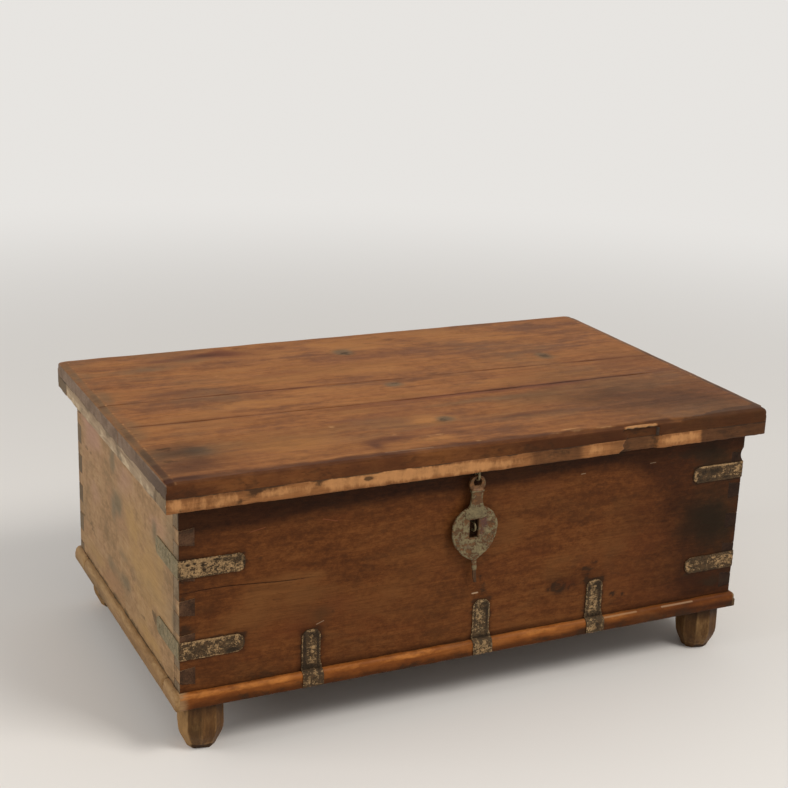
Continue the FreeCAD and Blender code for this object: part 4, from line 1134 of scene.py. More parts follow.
print("a pin is %.0f mm high inside and %.0f outside" % (2 * (pin_half + pin_flare) / mm, 2 * pin_half / mm))

# %% Rows of pins and tails


def tails(side, y0, y1):
    """Six tails: each fills the room between two pins, less the seam, and the outer two reach the edges."""
    highs = [lambda x: case_high + 0 * x] + [pin_edge(middle, -1, seam) for middle in pin_middles]
    lows = [pin_edge(middle, 1, seam) for middle in pin_middles] + [lambda x: case_low + 0 * x]
    return [wedge(side, y0, y1, low, high) for low, high in zip(lows, highs)]


def pins(side, y0, y1):
    """Five pins at their own heights."""
    return [wedge(side, y0, y1, pin_edge(middle, -1), pin_edge(middle, 1)) for middle in pin_middles]


print("faces of one row of tails:", len(join(tails(1, 0, 20 * mm))[1]))

# %% [markdown]
# ## The long boards
# A shake, which is a split that opened as the wood dried, runs in from the front board's left end. The
# lattice has rows of points close to it, so that a groove can follow its line. A scoop was knocked out of
# the right front corner under the lid.

# %% Board with a shake
crack_height, crack_end = lid_top - 174 * mm, -285 * mm


def crack_line(x):
    """Height of the long shake in the front board: nearly level, with a slow wave."""
    return crack_height + 2.2 * mm * np.sin((x + 0.47) * 28) - 0.02 * (x + 0.476)


def long_board(node, step):
    """Front or back board: a box between the joints, with rows of points close to the shake, and tails."""
    lo, hi = as_box(node)
    lo[0], hi[0] = -inner_end, inner_end
    close = np.array([-3, -1.6, -0.8, -0.35, 0, 0.35, 0.8, 1.6, 3]) * mm
    zs = rows(lo[2], hi[2], step, 2 * mm)
    zs = np.sort(np.concatenate([zs[np.abs(zs - crack_height) > 4 * mm], crack_height + close]))
    points, quads = skin(rows(lo[0], hi[0], step, 1 * mm), rows(lo[1], hi[1], 8 * mm, 1 * mm), zs)
    at_joint = step_up(inner_end - np.abs(points[:, 0]), 0, 3 * mm)
    points = rounded(points, lo, hi, 0.8 * mm * at_joint)
    x, y, z = points.T
    bend = np.exp(-((z - crack_height) / (22 * mm)) ** 2) * (crack_line(x) - crack_height)
    points[:, 2] = z + bend
    return join([(points, quads)] + tails(-1, lo[1], hi[1]) + tails(1, lo[1], hi[1]))


print("the shake is at %.0f mm and ends at x %.0f mm" % (crack_height / mm, crack_end / mm))

# %% Chipped corner
chip_middle, chip_reach, chip_deep = lid_top - 83 * mm, 12 * mm, 5 * mm


def chip(points):
    """Scoop knocked out of the front right corner, under the lid: a bowl over the height, cut off along X."""
    x, y, z = points.T
    bowl = np.clip(1 - ((z - chip_middle) / chip_reach) ** 2, 0, 1)
    near_edge = 1 - rise(y - front_lo[1], 10, 17)
    points = points.copy()
    points[:, 0] = np.minimum(x, case_end - chip_deep * bowl * near_edge)
    return points


print("the chip is %.0f mm deep" % (chip_deep / mm))

# %% [markdown]
# ## Marks on the front
# Under the lid the board is dark with old hand dirt and with a painted shadow of the lid's overhang, and its
# right end is nearly black, with a border that wanders. A cluster of knots sits right of the middle, each a
# dark ring in the wood. Grease gathers round the irons and shade is painted round their edges, so their
# boxes are read from the frame. The hasp's shadow is painted on the board behind it.

# %% Dirt, dark places and painted shade on the front
# Places are x and the depth under the lid's top.
# The long rows just under the lid, at depths of 46 to 68 mm, are dirt and the painted shadow of the lid's
# overhang. The rows near the hasp, from x -22 to 6 mm, are its painted shadow: behind the square hole, round
# the leaf and beside the tail.
front_grime_and_shade = [
    (0, -46, 600, 8, 0.9), (-356, -136, 26, 6, 0.3), (200, -240, 9, 8, 0.2), (178, -284, 22, 6, 0.4),
    (303, -261, 13, 6, 0.5), (431, -304, 22, 8, 0.7), (93, -314, 20, 5, 0.4), (-243, -241, 7, 6, 0.5),
    (6, -240, 6, 14, 0.6), (-1, -222, 3, 16, 0.5), (-455, -308, 22, 8, 0.5), (-465, -235, 12, 12, 0.35),
    (440, -195, 50, 80, 0.05), (450, -115, 34, 40, 0.1), (-470, -170, 6, 90, 0.35),
    (210, -312, 60, 6, 0.3), (410, -75, 70, 14, 0.4), (-380, -322, 80, 5, 0.35), (20, -55, 90, 8, 0.4),
    (-22, -137, 11, 17, 1.2), (160, -264, 46, 12, 0.2), (192, -240, 22, 14, 0.2),
    (235, -262, 30, 8, 0.2),
]
front_dark = [
    (-400, -68, 130, 34, 0.6), (0, -46, 620, 26, 1.3), (-180, -60, 200, 24, 0.4),
    (405, -85, 90, 30, 0.35), (-20, -137, 50, 50, 0.25), (4, -215, 22, 40, 0.3),
    (400, -300, 60, 30, 0.2), (-460, -120, 40, 60, 0.25), (-470, -190, 14, 120, 0.3),
    (170, -258, 60, 26, 0.25), (0, -324, 480, 4, 0.5), (-250, -290, 80, 50, 0.12),
]
print("dirty and dark places on the front:", len(front_grime_and_shade) + len(front_dark))

# %% Coloured places on the front
# Places are x and the depth under the lid's top.
front_warm = [
    (-330, -200, 90, 34, 0.4), (-395, -225, 50, 34, 0.35), (-280, -176, 40, 9, 0.4),
    (-150, -240, 120, 60, 0.25), (180, -130, 90, 60, 0.25), (60, -160, 80, 50, 0.25),
    (250, -110, 60, 30, 0.2), (60, -290, 80, 14, 0.3), (-380, -300, 60, 14, 0.3),
    (250, -210, 60, 34, 0.25), (130, -220, 70, 24, 0.25),
]
front_red = [
    (-230, -92, 80, 20, 0.3), (-150, -78, 60, 14, 0.25), (-30, -150, 36, 60, 0.3),
    (-240, -228, 40, 20, 0.25), (-330, -75, 60, 20, 0.2), (120, -90, 60, 16, 0.2),
    (-100, -190, 60, 40, 0.2), (158, -263, 24, 10, 0.3), (300, -120, 40, 40, 0.25),
    (-300, -260, 40, 20, 0.25), (380, -300, 60, 24, 0.3),
]
front_olive = [
    (-260, -250, 20, 30, 0.3), (-120, -120, 60, 30, 0.2), (60, -235, 50, 40, 0.2),
    (-430, -310, 60, 14, 0.3), (10, -215, 30, 40, 0.3), (-360, -110, 60, 14, 0.25),
    (425, -150, 60, 80, 0.35), (-180, -300, 60, 12, 0.2), (420, -80, 80, 24, 0.4),
    (455, -230, 20, 60, 0.2), (440, -200, 80, 150, 0.35),
]
front_bare = [(-9, -250, 8, 1.6, 0.5)]
print("coloured places on the front:", len(front_warm) + len(front_red) + len(front_olive))

# %% Knots
# Rows are (x, depth, radius, width, amount) in millimetres.
front_knots = [
    (141, -262, 11, 3.4, 0.42), (141, -262, 1, 4, 0.4), (166, -270, 7, 3, 0.4), (190, -244, 7, 4, 0.3),
    (179, -252, 15, 3.4, 0.24), (204, -230, 4, 4, 0.35), (243, -294, 3.5, 2.4, 0.9),
    (262, -296, 2, 1.8, 0.6), (121, -266, 2, 3, 0.4),
]


def rings(a, b, table):
    """Dark rings round knots: a bell over the distance from the circle of each row."""
    return sum(amount * np.exp(-((np.hypot(a / mm - ca, 1.25 * (b / mm - cb)) - radius) / width) ** 2)
               for ca, cb, radius, width, amount in table)


print("knot rings:", len(front_knots))

# %% Grease and painted shade round the irons
irons_on_front = [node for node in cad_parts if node.startswith(("corner_iron", "base_strap"))]
iron_boxes = [(lo[0], hi[0], lo[2], hi[2]) for lo, hi in map(as_box, irons_on_front)]


def grease_and_shade_round(x, z, boxes, reach):
    """Grease and painted shade round an iron: they fade with the distance from the iron's own rectangle."""
    total = 0 * x
    for x0, x1, z0, z1 in boxes:
        gap = np.hypot(np.maximum(np.maximum(x0 - x, x - x1), 0), np.maximum(np.maximum(z0 - z, z - z1), 0))
        total = np.maximum(total, np.exp(-(gap / reach) ** 2))
    return total


print("irons on the front:", len(iron_boxes))

# %% Front board
border_depth = np.array([-330, -270, -235, -180, -120, -60]) * mm
border_x = np.array([430, 405, 380, 385, 355, 305]) * mm
open_crack, tail_crack, crack_deep = 0.55 * mm, 1.0 * mm, 1.2 * mm
face_depth = 2 * mm


def front_darkness(points, depth):
    """Dark places and painted shade from the table, the dark right end behind its wandering border, knots,
    and grease and painted shade round the irons.
    """
    x, y, z = points.T
    border = np.interp(depth, border_depth, border_x) + 16 * mm * waves(points * [1, 0, 1], 60, 88)
    dark = 0.1 + spots(x, depth, front_dark) + 0.56 * rise(x - border, -70, 50)
    dark += 0.26 * step_up(x, 0.14, 0.34) + 0.14 * step_up(x, 0.24, 0.33)
    dark += 0.35 * grease_and_shade_round(x, z, iron_boxes, 6 * mm) + 0.45 * rings(x, depth, front_knots)
    return np.where(x > 0.3, np.minimum(dark, 0.78), dark)


def front_crack(points):
    """The shake as a bell over the distance from its line, on the front face and left of its end."""
    x, y, z = points.T
    half = np.where(x < -inner_end - 0.5 * mm, tail_crack, open_crack)
    on_board = (y < front_lo[1] + face_depth) * (x < inner_end)
    return window(x, -1, crack_end, 40 * mm) * np.exp(-((z - crack_line(x)) / half) ** 2) * on_board


points, quads = long_board("front_panel", 3.4 * mm)
points = chip(points)
x, y, z = points.T
depth = z - lid_top
normal = facing(points, quads)
index = np.select([np.abs(normal[:, 0]) > 0.7, normal[:, 1] > 0.7], [1, 2], 0)
on_face = y < front_lo[1] + face_depth
cracked = front_crack(points)
grime_and_shade = spots(x, depth, front_grime_and_shade) + rings(x, depth, front_knots)
grime_and_shade += 0.5 * grease_and_shade_round(x, z, iron_boxes, 3 * mm)
marks = {
    "bare_and_highlight": spots(x, depth, front_bare) * on_face,
    "grime_and_shade": grime_and_shade * on_face,
    "dark": np.where(on_face, front_darkness(points, depth), 0.1),
    "line": cracked,
    "warm": spots(x, depth, front_warm) * on_face,
    "red": spots(x, depth, front_red) * on_face,
    "olive": spots(x, depth, front_olive) * on_face,
}
points[:, 1] += crack_deep * cracked * (x >= -inner_end - 0.5 * mm)
piece("front_board", (points, quads), "case", ["front_panel"],
      [front_teak, side_end, inner_teak], index, marks)

# %% Back board
# Places are x and the depth under the lid's top.
# The long rows just under the lid, at depths of 46 to 50 mm, are dirt and the painted shade under the lid's
# overhang.
back_grime_and_shade = [
    (0, -46, 520, 12, 0.6), (-460, -190, 30, 120, 0.4), (430, -230, 40, 120, 0.4),
    (-120, -230, 60, 30, 0.4), (200, -270, 90, 20, 0.35), (0, -324, 500, 6, 0.5),
    (60, -120, 140, 12, 0.35),
]
back_dark = [
    (0, -50, 560, 20, 0.5), (460, -190, 40, 140, 0.5), (-470, -190, 30, 140, 0.5),
    (-150, -220, 160, 60, 0.25),
]

points, quads = long_board("back_panel", 5 * mm)
x, y, z = points.T
depth = z - lid_top
normal = facing(points, quads)
index = np.select([np.abs(normal[:, 0]) > 0.7, normal[:, 1] < -0.7], [1, 2], 0)
marks = {"grime_and_shade": spots(x, depth, back_grime_and_shade) * (y > back_hi[1] - face_depth),
         "dark": spots(x, depth, back_dark)}
piece("back_board", (points, quads), "case", ["back_panel"],
      [front_teak, side_end, inner_teak], index, marks)

# %% [markdown]
# ## The end boards
# The end board's grain runs from front to back. Sun and damp have bleached it to a dry tan with grey runs
# where water came down, so it gets its own finish, and its marks are placed along Y and Z.

# %% Dirt, dark places and painted shade on the ends
# Places are y and the depth under the lid's top.
# The long rows just under the lid, at depths of 44 to 46 mm, are dirt and the painted shade under the lid's
# overhang.
left_grime_and_shade = [
    (212, -126, 34, 2.6, 0.75), (240, -122, 10, 3, 0.5), (225, -257, 40, 3, 0.7),
    (188, -263, 16, 5, 0.55), (-172, -124, 10, 8, 0.55), (-170, -264, 12, 9, 0.6),
    (-156, -258, 6, 6, 0.45), (-262, -323, 3, 3, 1.0), (46, -180, 12, 4, 0.45), (28, -162, 14, 4, 0.4),
    (70, -282, 12, 8, 0.4), (-25, -280, 10, 5, 0.4), (-110, -290, 12, 7, 0.5), (0, -44, 300, 6, 0.4),
    (0, -325, 300, 4, 0.6), (-210, -150, 30, 3, 0.35),
]
left_dark = [
    (-268, -190, 9, 140, 0.45), (270, -190, 6, 140, 0.4), (0, -46, 300, 14, 0.35),
    (-240, -290, 60, 24, 0.25), (50, -150, 18, 70, 0.15),
]
right_grime_and_shade = [
    (0, -44, 300, 10, 0.7), (-240, -188, 30, 120, 0.6), (80, -200, 26, 70, 0.5),
    (-80, -268, 40, 40, 0.4), (0, -325, 300, 6, 0.6),
]
right_dark = [
    (-270, -190, 30, 140, 0.7), (0, -46, 300, 14, 0.4),
]
print("dirty and dark places on the left end:", len(left_grime_and_shade) + len(left_dark))

# %% Coloured places on the ends
# Places are y and the depth under the lid's top.
end_olive = [
    (56, -95, 22, 32, 0.75), (40, -162, 46, 24, 0.85), (55, -186, 14, 20, 0.5),
    (105, -222, 34, 16, 0.45), (-5, -236, 50, 10, 0.35), (72, -278, 36, 17, 0.65),
    (0, -284, 60, 24, 0.5), (-20, -270, 20, 10, 0.35), (-140, -228, 40, 16, 0.3),
    (-240, -150, 26, 90, 0.4), (-170, -122, 16, 18, 0.6), (270, -100, 12, 60, 0.4),
    (-262, -200, 12, 120, 0.5), (200, -60, 60, 10, 0.3),
]
end_warm = [
    (-120, -220, 110, 60, 0.6), (-60, -150, 70, 30, 0.5), (-140, -310, 70, 18, 0.55),
    (160, -300, 80, 16, 0.4), (-200, -180, 40, 30, 0.4),
]
end_red = [
    (180, -90, 90, 40, 0.65), (230, -60, 60, 16, 0.5), (0, -100, 60, 30, 0.45),
    (120, -250, 50, 24, 0.3), (-180, -110, 50, 20, 0.45), (180, -190, 60, 24, 0.35),
]
print("coloured places on an end:", len(end_olive) + len(end_warm) + len(end_red))

# %% Left and right boards


def end_board(node, side):
    """A rounded box between the long boards, joined with the pins that reach through them."""
    lo, hi = as_box(node)
    lo[1], hi[1] = front_hi[1], back_lo[1]
    points, quads = box_skin(lo, hi, (8, 4.5, 4.5), (1, 1, 2))
    at_joint = step_up(np.minimum(points[:, 1] - lo[1], hi[1] - points[:, 1]), 0, 3 * mm)
    body = rounded(points, lo, hi, 0.8 * mm * at_joint), quads
    return join([body] + pins(side, front_lo[1], lo[1]) + pins(side, hi[1], back_hi[1]))


# Each end's table of dirt also holds the painted shade under the lid.
for node, side, dirty, darkened in (("left_panel", -1, left_grime_and_shade, left_dark),
                                    ("right_panel", 1, right_grime_and_shade, right_dark)):
    points, quads = end_board(node, side)
    if side > 0:
        points = chip(points)
    x, y, z = points.T
    depth = z - lid_top
    normal = facing(points, quads)
    index = np.select([np.abs(normal[:, 1]) > 0.7, normal[:, 0] * side < -0.7], [1, 2], 0)
    on_face = x * side > case_end - face_depth
    on_pin = (y < front_lo[1] + face_depth) | (y > back_hi[1] - face_depth)
    # The pins' end grain is painted darker toward the top for the shade under the lid, and is dark all over
    # on the right end.
    pin_dark = 0.6 * (1 - rise(-depth, 60, 100)) + (0.85 if side > 0 else 0.0)
    marks = {
        "grime_and_shade": spots(y, depth, dirty) * on_face + 0.2 * on_pin,
        "dark": np.where(on_pin, pin_dark, spots(y, depth, darkened) * on_face),
        "olive": spots(y, depth, end_olive) * on_face,
        "warm": spots(y, depth, end_warm) * on_face,
        "red": spots(y, depth, end_red) * on_face,
    }
    piece(node.replace("panel", "board"), (points, quads), "case", [node],
          [side_teak, cut_end, inner_side_teak], index, marks)

# %% [markdown]
# ## The base and its nosing
# A flat frame under the case sticks out by a finger's width and is rounded above, like the nosing of a
# stair. The upper round has a bright orange polish from shoes and brooms, with a painted highlight along it,
# and the lower edge is painted dark for the shade where it faces down, with a wandering border between them.

# %% One base board
base_lo, base_hi = as_box("base_front")
upper_round, lower_round = 8.5 * mm, 3 * mm


def base_board(node, seed):
    """Rounded box whose outer arrises are large above and small below, and uneven by two waves."""
    lo, hi = as_box(node)
    points, quads = box_skin(lo, hi, (3, 6, 1.5), (9, 9, 5))
    x, y, z = points.T
    level = points * [1, 1, 0]
    past_front, past_back = base_lo[1] + 10 * mm - y, y - (back_hi[1] - 1 * mm)
    rim = np.maximum(np.abs(x) - (base_hi[0] - 10 * mm), np.maximum(past_front, past_back)) > 0
    worn = 1 + 0.16 * waves(level, 60, seed) + 0.08 * waves(level, 14, seed + 1)
    upper = z > (lo[2] + hi[2]) / 2
    radius = np.where(upper, upper_round * np.clip(worn, 0.6, 1.05), lower_round * np.clip(worn, 0.5, 1.1))
    return rounded(points, lo, hi, np.where(rim, radius, 0.3 * mm)), quads


print("base: %.0f mm thick, %.0f mm wider than the case" % ((base_hi[2] - base_lo[2]) / mm,
                                                            2 * (base_hi[0] - case_end) / mm))

# %% Marks on the base
# Rows are (x, reach) in millimetres: the stretches of the front with a bright polish and a painted highlight.
shine_x = [(-455, 34), (-385, 30), (-330, 26), (-220, 40), (-110, 50), (100, 40), (250, 20)]


def base_marks(points, seed, long_x):
    """Painted shade below a wandering border, a bright polish with a painted highlight above it, a darker
    line along the case, and a tan left front corner.
    """
    x, y, z = points.T
    level = points * [1, 1, 0]
    depth = base_hi[2] - z
    border = 14 * mm + 1.6 * mm * waves(level, 70, seed + 5) + 0.7 * mm * waves(level, 15, seed + 6)
    rim = np.maximum(np.abs(x) - case_end, np.maximum(front_lo[1] - y, y - back_hi[1]))
    joint_darkening = (1 - rise(rim, 0.4, 2.2)) * (depth < 4 * mm)
    polish_and_highlight = stretch(depth, 0.3, 8, 1.8) * (0.78 + 0.25 * waves(level, 70, seed + 7))
    if long_x:
        shine = sum(np.exp(-((x / mm - middle) / reach) ** 2) for middle, reach in shine_x)
        tan = 0.9 * (1 - step_up(x, -base_hi[0] + 8 * mm, -base_hi[0] + 30 * mm))
    else:
        shine, tan = 0.5 + 0 * x, 0 * x
    low = rise(depth - border, -7, 7) * (1 - 0.75 * tan)
    dark = 0.78 * low + 0.55 * step_up(x, 0.1, 0.4) if long_x else 0.3 * low + 0.12
    grime_and_shade = 0.85 * joint_darkening + (0.3 if long_x else 0.2) * low
    return {"bare_and_highlight": 0.75 * shine * polish_and_highlight, "grime_and_shade": grime_and_shade, "dark": dark, "warm": tan}


print("polished stretches:", len(shine_x))

# %% Four base boards
for node, seed, wood in (("base_front", 91, base_teak), ("base_back", 92, base_teak),
                         ("base_left", 93, base_side_teak), ("base_right", 94, base_side_teak)):
    points, quads = base_board(node, seed)
    long_x = wood is base_teak
    middle_x = np.abs(points[quads].mean(1)[:, 0])
    cut = middle_x > base_hi[0] - 7 * mm if long_x else np.abs(facing(points, quads)[:, 1]) > 0.8
    piece(node + "_worn", (points, quads), "case", [node],
          [wood, base_side_teak], cut, base_marks(points, seed, long_x))

# %% [markdown]
# ## The carved feet
# The feet were cut with a drawknife, not turned: ten flat facets run from a full belly down to a small
# sole, and each ridge is a little blunt. A ring of points whose radius follows a polygon, carried up a
# profile, gives the facets, and cutting the polygon with a circle blunts the ridges.

# %% A surface carried over rings


def carried(rings):
    """Closed surface over rings of equal size, each a row of an array: quads between them, and a fan of
    shrunken rings over each end."""
    middle_low, middle_high = rings[0].mean(0), rings[-1].mean(0)
    rings = np.concatenate([(middle_low + (rings[0] - middle_low) * s)[None] for s in (0.02, 0.5)] + [rings]
                           + [(middle_high + (rings[-1] - middle_high) * s)[None] for s in (0.5, 0.02)])
    count, size = rings.shape[:2]
    ids = np.arange(count * size).reshape(count, size)
    side = np.stack([ids[:-1], np.roll(ids[:-1], -1, 1), np.roll(ids[1:], -1, 1), ids[1:]], -1).reshape(-1, 4)
    half = size // 2

    def cap(ring):
        back = ring[::-1]
        return np.stack([ring[:half - 1], back[:half - 1], back[1:half], ring[1:half]], -1)

    return rings.reshape(-1, 3), np.concatenate([side, cap(ids[0]), cap(ids[-1])[:, ::-1]])


# %% One foot
foot_heights = np.array([0.0, 0.05, 0.085, 0.22, 0.29, 0.38, 0.475, 1.0])
foot_radii = np.array([0.6, 0.66, 0.69, 0.835, 0.91, 0.97, 1.0, 0.98])
foot_size, foot_tall, facets = 35 * mm, 76 * mm, 10
facet_turn = 2 * math.pi / facets
sole_way = math.radians(-104)


def foot(node, seed, first_ridge):
    """Rings up the foot: a profile of the height times a polygon of the turn, cut with a circle at the ridges
    and, near the sole, with a slanting plane in front."""
    lo, hi = as_box(node)
    centre = (lo + hi) / 2
    turn = np.arange(240) / 240 * 2 * math.pi
    share = np.concatenate([np.linspace(0, 0.05, 5), np.linspace(0.07, 0.995, 46), [1.0]])
    facet = np.floor((turn - first_ridge) / facet_turn).astype(int) % facets
    within = (turn - first_ridge) % facet_turn - facet_turn / 2
    flat = math.cos(facet_turn / 2) / np.cos(within)
    hollow = np.random.default_rng(seed).uniform(-0.012, 0.0, facets)[facet]
    outline = np.minimum(flat + hollow * np.cos(within * facets / 2) ** 0.5, 1 - 0.006)
    radius = foot_size * np.interp(share, foot_heights, foot_radii)
    cut = foot_size * (0.5 + 1.57 * share)[:, None] / np.maximum(np.cos(turn - sole_way), 0.05)
    reach = np.minimum(radius[:, None] * outline, np.where(share[:, None] < 0.12, cut, 1.0))
    height = np.broadcast_to(foot_tall * share[:, None], reach.shape)
    return carried(np.stack([centre[0] + reach * np.cos(turn), centre[1] + reach * np.sin(turn), height], -1))


print("foot: %.0f mm tall, belly %.0f mm across" % (foot_tall / mm, 2 * foot_size / mm))

# %% Marks on a foot


def foot_marks(points, centre, seed, first_ridge, left):
    """Facets painted light by their turn as highlights, painted shade over the right feet and on the left
    feet's front facet, worn ridges, a bright line over the sole, painted shadow of the base at the top, and
    dirt at the sole.
    """
    x, y, z = points.T
    around = np.degrees(np.arctan2(y - centre[1], x - centre[0]))
    ridge = np.abs((around - first_ridge + 18) % 36 - 18)
    front_facet = window(around, -140, -104, 3)
    if left:
        light = 0.12 + 0.75 * np.maximum(1 - step_up(around, -143, -137), step_up(around, 137, 143))
        shaded = 0.12 * front_facet
    else:
        light = 0.1 + 0.3 * 0.8 * window(around, -124, -88, 3)
        shaded = 0.34
    bare_and_highlight = (light + 0.25 * (1 - step_up(ridge, 1, 5))) * (1 - 0.7 * rise(z, 52, 76))
    bare_and_highlight += 0.3 * stretch(z, 9, 11, 1)
    sole_dirt = (1 - rise(z, 6.5, 8.5)) * window(around, -150, -58, 4)
    grime_and_shade = 0.5 * rise(z, 60, 76) + 0.75 * sole_dirt + 0.2 * waves(points, 26, seed + 20)
    return {"bare_and_highlight": bare_and_highlight, "grime_and_shade": grime_and_shade, "dark": 0.5 * rise(z, 50, 74) + shaded,
            "olive": 0.35 * front_facet * left}


print("a facet is %.0f degrees wide" % math.degrees(facet_turn))

# %% Four feet
for node, seed, first_ridge in (("foot_front_left", 3, 4), ("foot_front_right", 4, 20),
                                ("foot_back_left", 5, 4), ("foot_back_right", 6, 20)):
    points, quads = foot(node, seed, math.radians(first_ridge))
    marks = foot_marks(points, sum(as_box(node)) / 2, seed, first_ridge, "left" in node)
    piece(node + "_carved", (points, quads), "case", [node], [foot_teak], None, marks)

# %% [markdown]
# ## Straps and corner irons
# Each iron is a strip of sheet, hammered flat and bent round the case. A flat strip is laid out first,
# with rounded ends and dents, and a formula then wraps its length round the corner or over the nosing.

# %% Flat strip of iron
iron_thick, iron_half = 2 * mm, 13.75 * mm


def strip(length_low, length_high, half, corner, thick, seed, round_low=True, round_high=True):
    """Flat strip in (length, width, thickness) with dented outer face and rounded ends."""
    ss = rows(length_low, length_high, 1.2 * mm, 3 * mm)
    ts = rows(-half, half, 1.2 * mm, 1.2 * mm)
    points, quads = skin(ss, ts, np.linspace(0, thick, 3))
    s, t, w = points.T
    gap = np.minimum(s - length_low if round_low else 1 + 0 * s, length_high - s if round_high else 1 + 0 * s)
    inside = np.clip(corner - gap, 0, corner)
    width = half - corner + np.sqrt(np.maximum(corner ** 2 - inside ** 2, 0))
    edge = (half - np.abs(t)) / half
    worn = 0.35 * mm * waves(points * [1, 0, 0] + [0, 0, seed * 0.1], 9, seed)
    t = t / half * (width + worn * (np.abs(t) > half * 0.6))
    dents = 0.22 * waves(points, 7, seed + 1) + 0.16 * waves(points, 3.2, seed + 2) - 0.25
    rim = np.minimum(np.minimum(edge * half, gap), 1.5 * mm) / (1.5 * mm)
    w = w * (1 + (dents * mm / thick) * rim - 0.25 * (1 - rim))
    return np.stack([s, t, w], 1), quads


print("iron: %.1f mm wide, %.0f mm thick" % (2 * iron_half / mm, iron_thick / mm))

# %% Round a corner
corner_bend = 2.2 * mm
off_wood = 0.1 * mm


def round_corner(points, side, height):
    """Wraps a strip round a front corner: length 0 is the corner, less the side leg, more the front leg."""
    s, t, w = points.T
    quarter = math.pi / 4
    radius = corner_bend + w
    turn = np.clip(s / corner_bend, -quarter, quarter) + quarter
    straight_front = np.clip(s - corner_bend * quarter, 0, None)
    straight_side = np.clip(-s - corner_bend * quarter, 0, None)
    x = case_end - corner_bend + off_wood + radius * np.cos(turn) - straight_front
    y = front_lo[1] + corner_bend - off_wood - radius * np.sin(turn) + straight_side
    return np.stack([side * x, y, height + t], 1)


print("the irons bend round the corner with a radius of %.1f mm" % (corner_bend / mm))

# %% Lime and dirt on the corner irons
# Share is the height as a share of the panel, end_round the radius of the round ends in millimetres, lime
# the lime all over and rim the lime along the edges. Rows are (length from the corner, height on the iron,
# reach, reach, amount) in millimetres.
# The thin rows at about 12.5 mm across, on the upper edge of the upper left, lower left and upper right
# irons, paint a highlight on that edge in the pale colour of the crusts.
corner_irons = {
    "upper_left": {
        "share": 0.33, "end_round": 9, "lime_and_highlight": 0.64, "rim": -0.35,
        "limed_and_highlight": [
            (30, 12, 22, 2.2, 0.8), (93, 5, 3, 6, 0.3), (8, 0, 8, 8, 0.2),
        ],
        "darkened": [
            (12, 6.7, 5, 2.6, 0.9), (22, 7.4, 3, 2.4, 0.8), (35, 2, 2.4, 7, 0.85), (37, -4, 4, 3, 0.5),
            (52, 10, 6, 2, 0.6), (62, 9, 9, 3, 0.55), (76, 7, 9, 5, 0.55), (88, 5, 5, 8, 0.5),
            (95, -2, 2.5, 12, 0.8), (4, -10, 6, 2, 0.6),
        ],
    },
    "lower_left": {
        "share": 0.772, "end_round": 13, "lime_and_highlight": 0.28, "rim": 0.35,
        "limed_and_highlight": [
            (45, 12.5, 40, 1.6, 0.5), (12, 0, 8, 5, 0.35), (50, 2, 8, 4, 0.4), (84, 4, 6, 6, 0.25),
        ],
        "darkened": [
            (78, -9, 13, 4, 1.0), (72, 4, 7, 5, 0.5), (24, -4, 20, 7, 0.35), (45, 6, 10, 3, 0.35),
            (95, 0, 2.5, 12, 0.6),
        ],
    },
    "upper_right": {
        "share": 0.227, "end_round": 12.5, "lime_and_highlight": 0.1, "rim": 0.1,
        "limed_and_highlight": [
            (50, 12.6, 50, 1.6, 1.0), (10, 2, 10, 8, 0.7), (92, 5, 3, 6, 0.8), (36, 2, 3, 8, 0.6),
            (88, -6, 6, 3, 0.5), (54, -6, 8, 3, 0.45), (24, -4, 6, 4, 0.5),
        ],
        "darkened": [
            (60, 3, 7, 6, 0.9), (48, 5, 6, 5, 0.8), (76, 4, 7, 5, 0.8), (70, -10, 26, 5, 0.5),
            (84, -2, 6, 8, 0.4), (30, -9, 14, 3, 0.6), (97, -3, 2.5, 10, 0.5), (20, 8, 16, 3, 0.3),
        ],
    },
    "lower_right": {
        "share": 0.787, "end_round": 13, "lime_and_highlight": 0.24, "rim": 0.0,
        "limed_and_highlight": [
            (22, 3, 22, 10, 0.35), (86, -4, 6, 8, 0.35), (92, 6, 3, 4, 0.5),
        ],
        "darkened": [
            (62, 6, 20, 6, 0.4), (84, 4, 8, 5, 0.4), (50, -12, 44, 2.4, 0.6), (97, 0, 2.5, 12, 0.6),
            (50, 13, 40, 1.4, 0.4),
        ],
    },
}
front_leg, side_leg = 96 * mm, 104 * mm
print("corner irons:", list(corner_irons))

# %% Four corner irons
for order, (name, look) in enumerate(corner_irons.items()):
    side = -1 if name.endswith("left") else 1
    flat, quads = strip(-side_leg, front_leg, iron_half, look["end_round"] * mm, iron_thick, 100 + 10 * order)
    s, t, w = flat.T
    points = round_corner(flat, side, case_high - panel_height * look["share"])
    on_front = rise(s, -2, 1)
    on_side = 1 - on_front
    at_rim = rise(np.abs(t) - iron_half, -2.4, -0.8)
    limed_and_highlight = look["lime_and_highlight"] + look["rim"] * at_rim + spots(s, t, look["limed_and_highlight"])
    marks = {
        "lime_and_highlight": limed_and_highlight * on_front + 0.35 * on_side,
        "dark": spots(s, t, look["darkened"]) * on_front + 0.12 * on_side,
        "dust": (0.95 if side < 0 else 0.4) * on_side,
    }
    piece("corner_iron_%s_forged" % name, (points, quads if side > 0 else quads[:, ::-1]), "case",
          ["corner_iron_" + name], [lime_iron], None, marks)

# %% [markdown]
# ## Base straps
# Three short straps tie the base to the front board. Each starts under a round end, runs down the board,
# bends over the nosing and stops halfway down it, so its line is two straights joined by a quarter round.
# The smith's hammer spread each strap a little where it bends.

